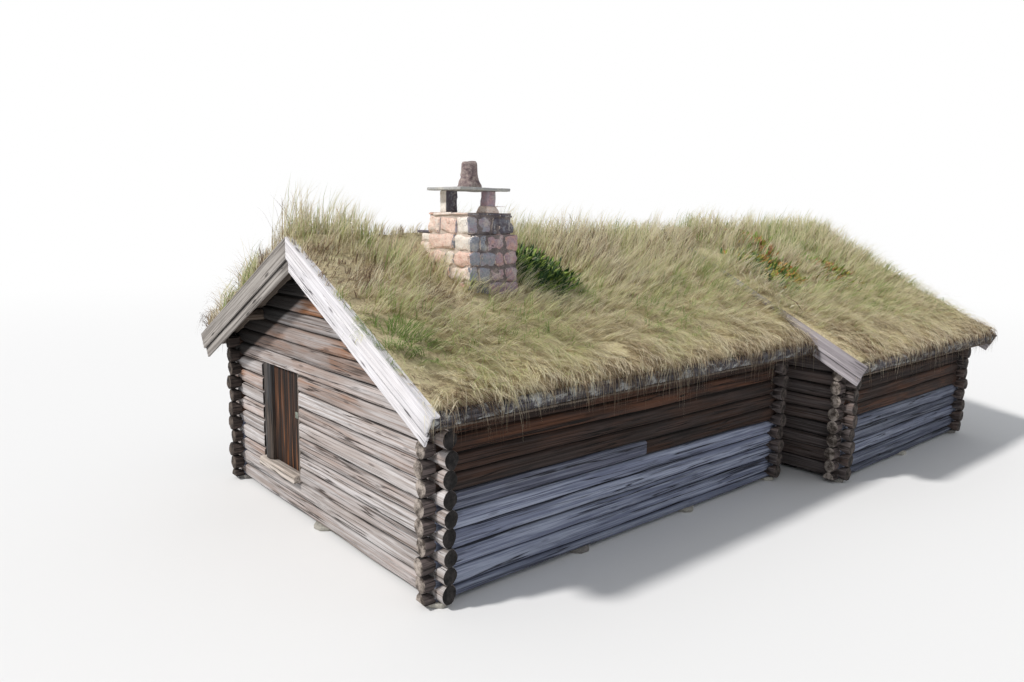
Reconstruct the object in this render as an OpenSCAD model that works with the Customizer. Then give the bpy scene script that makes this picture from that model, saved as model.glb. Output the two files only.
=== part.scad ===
// Old turf-roofed log house: a front house with a door and a chimney, and a
// wider log house close behind it under the same ridge. Millimetres, +Z up,
// the door gable faces -Y. The origin is on the ground below the middle.

/* [Log walls] */
// Width of the front house over its side walls
front_w = 5500; // [5100:50:6000]
// Length of the front house over its gable walls
front_len = 6900; // [6000:50:8000]
// Width of the rear house over its side walls
rear_w = 7060; // [6800:20:7600]
// Length of the rear house over its gable walls
rear_len = 5000; // [4000:50:6500]
// Open gap between the two houses
gap_len = 700; // [650:10:900]
// Thickness of a log
log_t = 175; // [150:5:200]
// Height of one course of logs
course = 220; // [210:2:230]
// Width of the flat on which a log lies on the next
log_flat = 90; // [80:5:130]
// How far the longest log ends stand out past a corner
log_out = 175; // [120:5:210]
// How unevenly the log ends are sawn off
log_play = 40; // [10:5:60]
// Thickness of a log's rounder end past the corner
end_t = 190; // [176:2:200]
// Width of the flat on a log's end
end_flat = 46; // [30:2:70]
// How far the notch's sides taper beside the crossing log
taper_len = 75; // [40:5:90]
// How deep that taper goes into the wall's outer face
taper_deep = 60; // [30:5:80]
// Height of the foundation stones
stone_h = 60; // [40:5:80]
// Width of a foundation stone over its corners
stone_w = 320; // [280:10:400]

/* [Roof] */
// Slope of the front roof, in degrees
front_slope = 27.2; // [25:0.2:29]
// Slope of the rear roof, in degrees
rear_slope = 26.2; // [24:0.2:28]
// Height of the turf over the front house's side walls
front_rise = 2557; // [2500:1:2620]
// Height of the turf over the rear house's side walls
rear_rise = 2343; // [2300:1:2400]
// How far the front roof reaches past its side walls
front_eave = 460; // [380:10:520]
// How far the rear roof reaches past its side walls
rear_eave = 500; // [400:10:560]
// How far the roofs reach past their outer gables
gable_out = 380; // [320:10:450]
// Thickness of the turf
turf_t = 170; // [140:5:200]
// Thickness of the roof boards
board_t = 30; // [25:1:40]
// Width and height of the log that holds the turf at the eave
eave_log = 130; // [100:5:150]
// Radius to which that log's corners are rounded off, from its middle
eave_round = 82; // [78:1:88]
// Radius of the ridge log
ridge_log_r = 95; // [80:5:110]
// Radius of a purlin
purlin_r = 80; // [60:5:90]
// Distance from the ridge to a purlin
purlin_out = 1700; // [1550:10:2000]

/* [Bargeboards] */
// Depth of the whole bargeboard, across the slope
barge_deep = 394; // [360:2:420]
// Depth of the upper bargeboard
barge_upper = 218; // [190:2:240]
// How far the upper board laps over the lower one
barge_lap = 12; // [6:1:20]
// Thickness of a bargeboard
barge_t = 32; // [25:1:40]
// Thickness of the cap board
cap_t = 28; // [20:1:35]
// Width of the cap board
cap_w = 110; // [90:5:140]

/* [Door] */
// Left end of the gap in the gable logs
gap_left = -1755; // [-1850:5:-1740]
// Right end of the gap in the gable logs
gap_right = -560; // [-600:5:-500]
// Courses of gable logs below the doorway
sill_courses = 2; // [2:1:3]
// Courses of gable logs beside the doorway
door_courses = 7; // [6:1:8]
// Height of the sill timber above the log below it
sill_h = 105; // [90:5:120]
// How far the sill timber stands out of the wall
sill_out = 90; // [60:5:120]
// Width of the bevel on the sill timber's outer edge
sill_bevel = 28; // [15:1:40]
// How far the doorway is cut up into the log over it
head_cut = 30; // [20:2:40]
// Width of the thick post beside the door
post_w = 250; // [220:5:270]
// Thickness of the thick post
post_t = 95; // [80:5:100]
// How far the thick post stands out of the wall
post_out = 30; // [20:5:40]
// How far the post's hewn face bulges
post_round = 45; // [30:5:60]
// How far the door leaf is set back behind the post's face
leaf_in = 85; // [75:5:90]
// Open slit between the thick post and the log ends
post_slit = 55; // [40:5:70]
// Thickness of the door jamb on the latch side
jamb_t = 50; // [40:2:60]
// How far the jamb is set back from the wall's faces
jamb_in = 20; // [10:1:40]
// Thickness of the door leaf
leaf_t = 35; // [30:1:40]
// Number of boards in the door leaf
leaf_boards = 4; // [3:1:6]
// Depth of the grooves between boards, in the leaf and the floor
groove = 7; // [4:1:10]
// Width of the gaps round the door leaf
leaf_gap = 10; // [8:1:12]
// Radius of the hinge pin
pin_r = 8; // [6:0.5:10]
// Radius of the eye round the hinge pin
eye_r = 15; // [13:0.5:17]
// Length of a strap hinge
strap_len = 520; // [400:10:600]
// Width of a strap hinge
strap_w = 40; // [30:2:50]
// Thickness of a strap hinge
strap_t = 6; // [5:0.5:8]
// Height of the leaf's lowest hinge above its foot
hinge_low = 220; // [180:10:300]
// Distance between the two hinges
hinge_gap = 1000; // [800:10:1050]
// Distance of the hinge pin behind the door leaf
pin_back = 10; // [9:0.5:12]
// How far the hinge pin reaches past the strap, above and below
pin_over = 20; // [15:1:25]
// Width of the latch
latch_w = 120; // [100:5:140]
// Height of the latch
latch_h = 90; // [70:5:110]
// Thickness of the latch
latch_t = 14; // [10:1:18]
// Distance of the latch from the leaf's edge
latch_in = 10; // [8:1:20]
// Height of the latch above the middle of the leaf
latch_up = 60; // [0:10:150]

/* [Floor] */
// Height of the floor boards' top above the foundation stones' foot
floor_z = 540; // [500:5:580]
// Thickness of the floor boards
floor_t = 40; // [30:1:50]
// Number of boards in the floor
floor_rows = 24; // [16:1:30]
// Number of floor joists
joists = 5; // [4:1:5]
// Radius of a floor joist
joist_r = 85; // [70:5:100]
// Distance of the first joist from the front gable
joist_first = 1150; // [1000:10:1250]
// Distance between floor joists
joist_gap = 1325; // [1300:5:1400]

/* [Chimney] */
// Distance of the chimney from the front gable
stack_y = 1470; // [1300:10:1700]
// Distance of the chimney's near side from the ridge
stack_x = 470; // [400:10:600]
// Width of the chimney along the gable
stack_w = 880; // [800:10:950]
// Width of the chimney along the ridge
stack_d = 760; // [700:10:850]
// Height of the chimney's top above the ridge
stack_rise = 340; // [250:10:450]
// How much wider the lower part of the chimney is
stack_step = 60; // [40:5:80]
// Height of the chimney above its step
step_down = 280; // [240:10:330]
// Height of the solid foot of the chimney
foot_z = 2300; // [2000:10:2400]
// Width of the flue along the gable
flue_w = 290; // [250:10:300]
// Width of the flue along the ridge
flue_d = 300; // [250:10:300]
// Height of the piers below the chimney's slab
pier_h = 285; // [240:5:320]
// Width of the left pier along the gable
left_pier_w = 140; // [120:5:160]
// Width of the left pier along the ridge
left_pier_d = 190; // [150:5:210]
// Distance of the left pier from the chimney's left side
left_pier_x = 230; // [200:5:250]
// Distance of the left pier from the chimney's front
left_pier_y = 30; // [20:5:35]
// Width of the right pier along the gable
right_pier_w = 140; // [120:5:150]
// Width of the right pier along the ridge
right_pier_d = 150; // [120:5:160]
// Distance of the right pier from the chimney's right side
right_pier_x = 95; // [85:5:98]
// Distance of the right pier from the chimney's front
right_pier_y = 390; // [360:5:420]
// Width of the stone that the right pier stands on
pier_foot_w = 240; // [210:5:245]
// Height of that stone
pier_foot_h = 85; // [60:5:110]
// How far the sides of that stone lean in
pier_foot_in = 35; // [20:1:40]
// Thickness of the chimney's slab
slab_t = 38; // [30:1:50]
// Distance of the slab's left edge from the chimney's left side
slab_x = 150; // [120:5:200]
// Width of the slab along the gable
slab_w = 740; // [700:5:780]
// How far the slab reaches past the chimney's front
slab_front = 125; // [90:5:150]
// How far the slab stops short of the chimney's back
slab_back = 60; // [40:5:90]
// Height of the stone on the slab
crown_h = 340; // [280:5:380]
// Radius of the stone on the slab at its foot
crown_foot = 178; // [160:1:200]
// Radius of that stone where its foot flares out
crown_waist = 128; // [115:1:145]
// Height of that flare
crown_flare = 115; // [80:5:150]
// Radius of that stone at its top
crown_top = 98; // [80:1:110]
// Distance of the stone's middle from the chimney's left side
crown_x = 480; // [440:5:520]
// Distance of the stone's middle from the chimney's front
crown_y = 330; // [290:5:370]
// Width of the shoulder beside the chimney
shoulder_w = 235; // [220:5:300]
// Length of the shoulder along the ridge
shoulder_d = 560; // [450:10:650]
// How far the shoulder is set back from the chimney's front
shoulder_in = 30; // [20:5:60]
// How far the ledge stone reaches past the shoulder
ledge_out = 80; // [60:5:110]
// Thickness of the ledge stone on the shoulder
ledge_t = 32; // [25:1:40]

/* [Hidden] */
$fn = 48;

eps = 1;
whole_len = front_len + gap_len + rear_len;
// Front face of each house's front gable, and back face of its back gable
y_front = -whole_len / 2;
y_back = y_front + front_len;
y_rear = y_back + gap_len;
y_end = y_rear + rear_len;
log_r = sqrt(pow(course / 2, 2) + pow(log_flat / 2, 2));
// Two circles shifted apart by twice this much overlap in the oval of a log's end
end_shift = (pow(end_flat, 2) + pow(course, 2) - pow(end_t, 2)) / (4 * (end_t - end_flat));
// How far the wall's own section runs on past the corner
collar = 15;
// Radius of the post's hewn face
post_r = (pow(post_w / 2, 2) + pow(post_round, 2)) / (2 * post_round);
under = turf_t + board_t;
// Clearance between pieces that lie against each other
seat = 0.3;
// Clearance between the hinge pin and its eye
pin_fit = 0.1;
// Clearance round the chimney in the roof boards and the floor
stack_gap = 5;
front_ridge = front_rise + tan(front_slope) * front_w / 2;
rear_ridge = rear_rise + tan(rear_slope) * rear_w / 2;
stack_top = front_ridge + stack_rise;
step_z = stack_top - step_down;
front_half = front_w / 2 + front_eave;
rear_half = rear_w / 2 + rear_eave;
// Where the front roof ends and the rear roof begins
y_join = y_rear - gable_out;
roof_front = y_front - gable_out;
roof_end = y_end + gable_out;
door_low = stone_h + course * sill_courses;
door_top = door_low + course * door_courses;
leaf_low = door_low + sill_h + leaf_gap;
leaf_top = door_top + head_cut - leaf_gap;
post_left = gap_left + post_slit;
post_right = post_left + post_w;
jamb_left = gap_right - jamb_t;
leaf_face = y_front - post_out + leaf_in;
leaf_left = post_right + leaf_gap;
leaf_right = jamb_left - leaf_gap;
pin_x = leaf_left - eye_r;
pin_y = leaf_face + leaf_t + pin_back;
inner_front = front_w - 2 * log_t;

// Height of a roof plane at x, "down" below the top of the turf across the slope
function roof_z(ridge, slope, x, down) = ridge - tan(slope) * abs(x) - down / cos(slope);
// Point of the right slope at the roof's edge, "down" below the top of the turf
function edge(ridge, slope, half, down) =
    [half - down * sin(slope), roof_z(ridge, slope, half, 0) - down * cos(slope)];

// Outline of a layer of the right slope between two depths, from "start" beside the ridge
module layer(ridge, slope, half, from, to, start = 0) {
    polygon([[start, roof_z(ridge, slope, start, from)], edge(ridge, slope, half, from),
        edge(ridge, slope, half, to), [start, roof_z(ridge, slope, start, to)]]);
}

// A flat outline drawn in X and Z, run from y0 to y1
module run(y0, y1) {
    translate([0, y1, 0]) rotate([90, 0, 0]) linear_extrude(y1 - y0) children();
}

// Outline of a row of n boards, w wide and t thick, with V grooves between them at the top
module board_row(w, t, n) difference() {
    square([w, t]);
    for (k = [1 : n - 1]) translate([w * k / n, t]) rotate(45) square(groove * sqrt(2), center = true);
}

module both_sides() {
    children();
    mirror([1, 0, 0]) children();
}

// Everything under the roof boards
module under_roof(ridge, slope, half, y0, y1) {
    run(y0, y1) polygon([[-half, -eps], [half, -eps], [half, roof_z(ridge, slope, half, under + seat)],
        [0, roof_z(ridge, slope, 0, under + seat)], [-half, roof_z(ridge, slope, half, under + seat)]]);
}

module log_section() {
    intersection() {
        square([log_t, course], center = true);
        circle(r = log_r);
    }
}

module end_section() {
    intersection() {
        square([2 * end_t, course], center = true);
        translate([-end_shift, 0]) circle(r = end_t / 2 + end_shift);
        translate([end_shift, 0]) circle(r = end_t / 2 + end_shift);
    }
}

// An outline carried along X, centred
module along_x(len) rotate([90, 0, 90]) linear_extrude(len, center = true) children();

// How far log number k stands out past the corner on side s
function end_len(k, s) = log_out - log_play * (1 + sin(k * 137 + s * 50)) / 2;

// Log number k of a wall, along X and centred, with its ends
module whole_log(len, k) {
    along_x(len + 2 * collar) log_section();
    for (s = [-1, 1])
        translate([s * (len + end_len(k, s)) / 2, 0, 0]) along_x(end_len(k, s)) end_section();
}

// A notch's tapered side, along +X from the crossing log
module notch_side(deep) rotate([90, 0, 0]) linear_extrude(deep, center = true)
    polygon([[-log_t / 4, -course / 4], [0, -course / 4], [taper_len, 0], [0, course / 4],
        [-log_t / 4, course / 4]]);

// What a crossing log takes out of a joint: its neck, a taper through the ends past the
// corner, at +X, and a shallow taper in the wall's outer face, at -Y
module notch() {
    cube([log_t, log_t, course / 2], center = true);
    translate([log_t / 2, 0, 0]) notch_side(2 * log_t);
    translate([-log_t / 2, -log_t / 2, 0]) mirror([1, 0, 0]) notch_side(2 * taper_deep);
}

// A gable wall of logs, notched for the side walls, from course a to course b; its outer
// face is at -Y, or at +Y where "back" is true
module gable_wall(w, y_mid, ridge, slope, a, b, back = false) {
    difference() {
        intersection() {
            for (k = [a : b - 1])
                translate([0, y_mid, stone_h + course * (k + 0.5)]) whole_log(w, k);
            under_roof(ridge, slope, w, y_mid - log_t, y_mid + log_t);
        }
        both_sides() for (k = [a : b])
            translate([(w - log_t) / 2, y_mid, stone_h + course * k])
                mirror([0, back ? 1 : 0, 0]) notch();
    }
}

// A side wall of logs, notched for both gables, cut to the slope at its top
module side_wall(w, y0, y1, ridge, slope) {
    x_mid = (w - log_t) / 2;
    top = ceil((roof_z(ridge, slope, x_mid, under) - stone_h) / course);
    difference() {
        intersection() {
            for (k = [0 : top])
                translate([x_mid, (y0 + y1) / 2, stone_h + course * k]) rotate(90) whole_log(y1 - y0, k + 0.5);
            run(y0 - 2 * log_out, y1 + 2 * log_out)
                polygon([[0, stone_h], [w, stone_h], [w, roof_z(ridge, slope, w, under + seat)],
                    [0, roof_z(ridge, slope, 0, under + seat)]]);
        }
        translate([x_mid, (y0 + y1) / 2, 0]) for (s = [0, 1], k = [0 : top]) mirror([0, s, 0])
            translate([0, (y1 - y0 - log_t) / 2, stone_h + course * (k + 0.5)]) rotate(90) notch();
    }
}

function courses_to(ridge, slope) = ceil((roof_z(ridge, slope, 0, under) - stone_h) / course);

// A flat field stone with seven sides, turned by its number
module field_stone(k) rotate(k * 37) cylinder(h = stone_h, r = stone_w / 2, $fn = 7);

// Stones under n places of each side wall and under the middle of each gable
module foundation(w, y0, y1, n) {
    for (s = [-1, 1], k = [0 : n - 1])
        translate([s * (w - log_t) / 2, y0 + log_t / 2 + (y1 - y0 - log_t) * k / (n - 1), 0])
            field_stone(k + s);
    for (y = [y0 + log_t / 2, y1 - log_t / 2]) translate([0, y, 0]) field_stone(n);
}

module foundation_front() color("#8d8a84") foundation(front_w, y_front, y_back, 4);
module foundation_rear() color("#8d8a84") foundation(rear_w, y_rear, y_end, 3);

front_mid = y_front + log_t / 2;

module front_wall_base() color("#9a8f80")
    gable_wall(front_w, front_mid, front_ridge, front_slope, 0, sill_courses);

module front_wall_beside() gable_wall(front_w, front_mid, front_ridge, front_slope,
    sill_courses, sill_courses + door_courses);

module front_wall_left() color("#a89c8c") intersection() {
    front_wall_beside();
    translate([gap_left - front_w, y_front - log_t, 0]) cube([front_w, 3 * log_t, front_ridge]);
}

module front_wall_right() color("#a89c8c") intersection() {
    front_wall_beside();
    translate([gap_right, y_front - log_t, 0]) cube([front_w, 3 * log_t, front_ridge]);
}

module front_gable() color("#9c7f63") difference() {
    gable_wall(front_w, front_mid, front_ridge, front_slope, sill_courses + door_courses,
        courses_to(front_ridge, front_slope));
    translate([gap_left, y_front - log_t, door_top - eps])
        cube([gap_right - gap_left, 3 * log_t, head_cut + eps]);
    purlin_holes(front_ridge, front_slope);
}

module side_pair(right, w, y0, y1, ridge, slope) {
    if (right) side_wall(w, y0, y1, ridge, slope);
    else mirror([1, 0, 0]) side_wall(w, y0, y1, ridge, slope);
}

module left_wall() color("#5d5450") side_pair(false, front_w, y_front, y_back, front_ridge, front_slope);
module right_wall() color("#5d5450") side_pair(true, front_w, y_front, y_back, front_ridge, front_slope);
module rear_left_wall() color("#5a5250") side_pair(false, rear_w, y_rear, y_end, rear_ridge, rear_slope);
module rear_right_wall() color("#5a5250") side_pair(true, rear_w, y_rear, y_end, rear_ridge, rear_slope);

module whole_gable(w, y_mid, ridge, slope, back) difference() {
    gable_wall(w, y_mid, ridge, slope, 0, courses_to(ridge, slope), back);
    purlin_holes(ridge, slope);
}

module back_wall() color("#6a5f56") whole_gable(front_w, y_back - log_t / 2, front_ridge, front_slope, true);
module rear_front_wall() color("#6a5f56") whole_gable(rear_w, y_rear + log_t / 2, rear_ridge, rear_slope, false);
module rear_back_wall() color("#6a5f56") whole_gable(rear_w, y_end - log_t / 2, rear_ridge, rear_slope, true);

// Ridge log and one purlin on each slope, grown by "more" for their holes
module purlins(ridge, slope, y0, y1, more) {
    mid = (y0 + y1) / 2;
    translate([0, mid, roof_z(ridge, slope, 0, under + ridge_log_r)])
        rotate([90, 0, 0]) cylinder(h = y1 - y0, r = ridge_log_r + more, center = true);
    for (s = [-1, 1])
        translate([s * purlin_out, mid, roof_z(ridge, slope, purlin_out, under + purlin_r)])
            rotate([90, 0, 0]) cylinder(h = y1 - y0, r = purlin_r + more, center = true);
}

module purlin_holes(ridge, slope) purlins(ridge, slope, roof_front - log_t, roof_end + log_t, seat);

// The purlins end against the back of the bargeboards
barge_back = 2 * (barge_t + seat);

module front_purlins() color("#7d6f60")
    purlins(front_ridge, front_slope, roof_front + barge_back, y_join, -seat);
module rear_purlins() color("#7d6f60")
    purlins(rear_ridge, rear_slope, y_join + barge_back, roof_end - barge_back, -seat);

// The hole round the chimney and its shoulder in a layer of the roof
module stack_hole(gap) translate([0, y_front + stack_y, 0]) {
    translate([stack_x - gap, -gap, 0])
        cube([stack_w + stack_step + 2 * gap, stack_d + stack_step + 2 * gap, stack_top]);
    translate([stack_x - shoulder_w - gap, shoulder_in - gap, 0])
        cube([shoulder_w + gap, shoulder_d + 2 * gap, stack_top]);
}

module front_boards() run(roof_front + barge_t, y_join)
    layer(front_ridge, front_slope, front_half, turf_t, under);
module front_boards_left() color("#6f6457") mirror([1, 0, 0]) front_boards();
module front_boards_right() color("#6f6457") difference() {
    front_boards();
    stack_hole(stack_gap);
}

module rear_boards() run(y_join + barge_t, roof_end - barge_t)
    layer(rear_ridge, rear_slope, rear_half, turf_t, under);
module rear_boards_left() color("#6f6457") mirror([1, 0, 0]) rear_boards();
module rear_boards_right() color("#6f6457") rear_boards();

// The turf reaches down the slope as far as the eave log
module turf(ridge, slope, half, y0, y1) run(y0, y1)
    layer(ridge, slope, half - (eave_log + seat) * cos(slope), 0, turf_t - seat);

module front_turf() difference() {
    turf(front_ridge, front_slope, front_half, roof_front + barge_t, y_join);
    run(roof_front, roof_front + cap_w + seat)
        layer(front_ridge, front_slope, front_half, -eps, cap_t + seat);
}
module front_turf_left() color("#8f8a4e") mirror([1, 0, 0]) front_turf();
module front_turf_right() color("#8f8a4e") difference() {
    front_turf();
    stack_hole(seat);
}

module rear_turf() turf(rear_ridge, rear_slope, rear_half, y_join + barge_t, roof_end - barge_t);
module rear_turf_left() color("#8f8a4e") mirror([1, 0, 0]) rear_turf();
module rear_turf_right() color("#8f8a4e") rear_turf();

// The log at the eave that keeps the turf from sliding off
module eave_log(ridge, slope, half, y0, y1) {
    foot = edge(ridge, slope, half, turf_t - seat);
    run(y0, y1) translate(foot) rotate(-slope) translate([-eave_log / 2, eave_log / 2]) intersection() {
        square([eave_log, eave_log], center = true);
        circle(r = eave_round);
    }
}

module front_eave_logs() color("#4d443c") both_sides()
    eave_log(front_ridge, front_slope, front_half, roof_front + barge_t, y_join);
module rear_eave_logs() color("#4d443c") both_sides()
    eave_log(rear_ridge, rear_slope, rear_half, y_join + barge_t, roof_end - barge_t);

// Upper and lower board of one gable; the lower one is set back behind the upper one
module bargeboards(ridge, slope, half, y, inward) {
    y_low = inward > 0 ? y : y - barge_t;
    y_set = y_low + inward * (barge_t + seat);
    both_sides() {
        run(y_low, y_low + barge_t)
            layer(ridge, slope, half, cap_t, cap_t + barge_upper, seat);
        run(y_set, y_set + barge_t)
            layer(ridge, slope, half, cap_t + barge_upper - barge_lap, barge_deep, seat);
    }
}

module cap_boards(ridge, slope, half, y) both_sides()
    run(y, y + cap_w) layer(ridge, slope, half, 0, cap_t, seat);

module front_bargeboards() color("#b3aca2")
    bargeboards(front_ridge, front_slope, front_half, roof_front, 1);
module front_cap_boards() color("#bdb7ae") cap_boards(front_ridge, front_slope, front_half, roof_front);
module middle_bargeboards() color("#b3aca2")
    bargeboards(rear_ridge, rear_slope, rear_half, y_join, 1);
module back_bargeboards() color("#b3aca2")
    bargeboards(rear_ridge, rear_slope, rear_half, roof_end, -1);

module door_sill() color("#a39686") translate([gap_left, y_front - sill_out, door_low]) rotate([90, 0, 90])
    linear_extrude(gap_right - gap_left) polygon([[0, 0], [sill_out + log_t, 0], [sill_out + log_t, sill_h],
        [sill_bevel, sill_h], [0, sill_h - sill_bevel]]);

// Half of a round timber: flat at its back, with a bulging hewn face
module door_post() color("#77726c") translate([post_left, y_front - post_out, door_low + sill_h]) intersection() {
    translate([0, -post_round, 0]) cube([post_w, post_t + post_round, door_top + head_cut - door_low - sill_h]);
    translate([post_w / 2, post_r, 0]) cylinder(h = door_top, r = post_r);
}

module door_jamb() color("#6b5a4a")
    translate([jamb_left, y_front + jamb_in, door_low + sill_h])
        cube([jamb_t, log_t - 2 * jamb_in, door_top + head_cut - door_low - sill_h]);

module door_leaf() color("#5a3a28") translate([leaf_left, leaf_face + leaf_t, leaf_low]) mirror([0, 1, 0])
    linear_extrude(leaf_top - leaf_low) board_row(leaf_right - leaf_left, leaf_t, leaf_boards);

module hinge_places() for (k = [0, 1]) translate([pin_x, pin_y, leaf_low + hinge_low + k * hinge_gap]) children();

module door_straps() color("#4a3a32") hinge_places() difference() {
    union() {
        cylinder(h = strap_w, r = eye_r);
        translate([0, -pin_back, 0]) cube([strap_len, strap_t, strap_w]);
    }
    translate([0, 0, -eps]) cylinder(h = strap_w + 2 * eps, r = pin_r + pin_fit);
}

module door_pintles() color("#4a3a32") hinge_places() {
    translate([0, 0, -pin_over]) cylinder(h = strap_w + 2 * pin_over, r = pin_r);
    translate([-pin_r, y_front - post_out + post_t - pin_y, -pin_over])
        cube([2 * pin_r, pin_y - y_front + post_out - post_t, pin_over - 2 * eps]);
}

module door_latch() color("#7c8078")
    translate([leaf_right - latch_in - latch_w, leaf_face - latch_t, (leaf_low + leaf_top) / 2 + latch_up])
        cube([latch_w, latch_t, latch_h]);

module floor_boards() color("#8a7560") difference() {
    run(y_front + log_t, y_back - log_t) translate([-inner_front / 2, floor_z - floor_t])
        board_row(inner_front, floor_t, floor_rows);
    translate([stack_x - shoulder_w - stack_gap, y_front + stack_y - stack_gap, 0])
        cube([shoulder_w + stack_w + stack_step + 2 * stack_gap, stack_d + stack_step + 2 * stack_gap,
            front_ridge]);
}

module floor_joists() color("#7d6a56") for (k = [0 : joists - 1])
    translate([0, y_front + joist_first + k * joist_gap, floor_z - floor_t - joist_r])
        rotate([0, 90, 0]) cylinder(h = inner_front, r = joist_r, center = true);

module chimney_foot() color("#8f8379") translate([stack_x - shoulder_w, y_front + stack_y, 0])
    cube([shoulder_w + stack_w + stack_step, stack_d + stack_step, foot_z]);

module chimney_stack() color("#b08d80") translate([stack_x, y_front + stack_y, 0]) difference() {
    union() {
        translate([0, 0, foot_z]) cube([stack_w + stack_step, stack_d + stack_step, step_z - foot_z]);
        translate([0, 0, foot_z]) cube([stack_w, stack_d, stack_top - foot_z]);
    }
    translate([(stack_w - flue_w) / 2, (stack_d - flue_d) / 2, foot_z - eps])
        cube([flue_w, flue_d, stack_top - foot_z + 2 * eps]);
}

module chimney_shoulder() color("#a39286")
    translate([stack_x - shoulder_w, y_front + stack_y + shoulder_in, foot_z]) {
        cube([shoulder_w, shoulder_d, step_z - foot_z]);
        translate([-ledge_out, 0, step_z - foot_z])
            cube([shoulder_w + ledge_out, shoulder_d, ledge_t]);
    }

module chimney_piers() color("#9b8a84") translate([stack_x, y_front + stack_y, stack_top]) {
    translate([left_pier_x, left_pier_y, 0]) cube([left_pier_w, left_pier_d, pier_h]);
    translate([stack_w - right_pier_x - right_pier_w / 2, right_pier_y + right_pier_d / 2, 0]) {
        translate([0, 0, pier_h / 2]) cube([right_pier_w, right_pier_d, pier_h], center = true);
        rotate(45) cylinder(h = pier_foot_h, r1 = pier_foot_w / sqrt(2),
            r2 = (pier_foot_w - 2 * pier_foot_in) / sqrt(2), $fn = 4);
    }
}

module chimney_slab() color("#9c9aa0")
    translate([stack_x + slab_x, y_front + stack_y - slab_front, stack_top + pier_h])
        cube([slab_w, stack_d + slab_front - slab_back, slab_t]);

// A rough stone with a flared foot
module chimney_crown() color("#85746c")
    translate([stack_x + crown_x, y_front + stack_y + crown_y, stack_top + pier_h + slab_t])
        rotate_extrude($fn = 7) polygon([[0, 0], [crown_foot, 0], [crown_waist, crown_flare],
            [crown_top, crown_h], [0, crown_h]]);

foundation_front();
foundation_rear();
front_wall_base();
front_wall_left();
front_wall_right();
front_gable();
left_wall();
right_wall();
back_wall();
rear_front_wall();
rear_left_wall();
rear_right_wall();
rear_back_wall();
door_sill();
door_post();
door_jamb();
door_leaf();
door_straps();
door_pintles();
door_latch();
floor_boards();
floor_joists();
front_purlins();
rear_purlins();
front_boards_left();
front_boards_right();
rear_boards_left();
rear_boards_right();
front_turf_left();
front_turf_right();
rear_turf_left();
rear_turf_right();
front_eave_logs();
rear_eave_logs();
front_bargeboards();
front_cap_boards();
middle_bargeboards();
back_bargeboards();
chimney_foot();
chimney_stack();
chimney_shoulder();
chimney_piers();
chimney_slab();
chimney_crown();
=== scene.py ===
"""The looks of an old log house with grass on its roof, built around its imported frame."""
import math
import random
from contextlib import contextmanager
from functools import partial

import bmesh
import bpy
import numpy
from mathutils import Matrix, Vector
from mathutils import noise as field


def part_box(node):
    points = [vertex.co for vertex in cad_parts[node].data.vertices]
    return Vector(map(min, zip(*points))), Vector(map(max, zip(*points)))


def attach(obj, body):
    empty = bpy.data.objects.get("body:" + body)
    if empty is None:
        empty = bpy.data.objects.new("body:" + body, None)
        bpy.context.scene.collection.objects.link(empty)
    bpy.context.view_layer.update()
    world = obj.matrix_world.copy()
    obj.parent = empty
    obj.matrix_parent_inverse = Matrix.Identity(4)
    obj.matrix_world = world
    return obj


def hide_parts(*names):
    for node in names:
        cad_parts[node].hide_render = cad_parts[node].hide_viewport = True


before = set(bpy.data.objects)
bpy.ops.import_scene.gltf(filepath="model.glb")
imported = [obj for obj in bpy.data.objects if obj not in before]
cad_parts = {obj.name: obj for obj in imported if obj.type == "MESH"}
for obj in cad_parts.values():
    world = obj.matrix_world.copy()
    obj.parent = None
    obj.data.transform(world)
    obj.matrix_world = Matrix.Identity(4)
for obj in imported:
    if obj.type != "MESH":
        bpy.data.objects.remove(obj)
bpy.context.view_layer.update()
bpy.ops.object.select_all(action="DESELECT")

# Camera, in metres and degrees; azimuth 0 looks along +Y and 90 along -X
EYE = (9.2136, -10.8639, 4.2898)
LOOK_AZIMUTH = 49.06
LOOK_DOWN = 9.312
LOOK_ROLL = 1.1
LENS_MM = 26.98
SENSOR_MM = 36.0

# Log walls, read from the frame
BASE_LOW, BASE_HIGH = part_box("front_wall_base")
COURSES_UNDER_DOOR = 2
COURSE = (BASE_HIGH.z - BASE_LOW.z) / COURSES_UNDER_DOOR
STONE_TOP = BASE_LOW.z

# Roof slopes, as the part's source has them
FRONT_SLOPE = math.radians(27.2)
REAR_SLOPE = math.radians(26.2)

# Sun and sky: how far the sun stands from straight above and round from the front, in degrees,
# how wide it is, and how strong both are
SUN_DOWN = 44
SUN_ROUND = -18
SUN_WIDTH = 6
SUN_STRENGTH = 2.9
SUN_COLOUR = (1.0, 0.975, 0.945)
SKY_STRENGTH = 0.55
SKY_COLOUR = (0.93, 0.96, 1.0, 1)
WHITE = (1, 1, 1, 1)

# The axes by number, and the way that each of them points
X, Y, Z = 0, 1, 2
AXES = (Vector((1, 0, 0)), Vector((0, 1, 0)), Vector((0, 0, 1)))


# Working with pieces


def pick(piece):
    """Makes one piece the only selected and the active one"""
    bpy.ops.object.select_all(action="DESELECT")
    piece.select_set(True)
    bpy.context.view_layer.objects.active = piece


@contextmanager
def editing(piece, kind):
    """Opens a piece in edit mode, where faces or edges are selected, and closes it after"""
    pick(piece)
    bpy.ops.object.mode_set(mode="EDIT")
    bpy.ops.mesh.select_mode(type=kind)
    yield
    bpy.ops.object.mode_set(mode="OBJECT")


def copy_mesh(piece, name):
    """A second piece with its own copy of a mesh"""
    copy = bpy.data.objects.new(name, piece.data.copy())
    bpy.context.scene.collection.objects.link(copy)
    return copy


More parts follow.
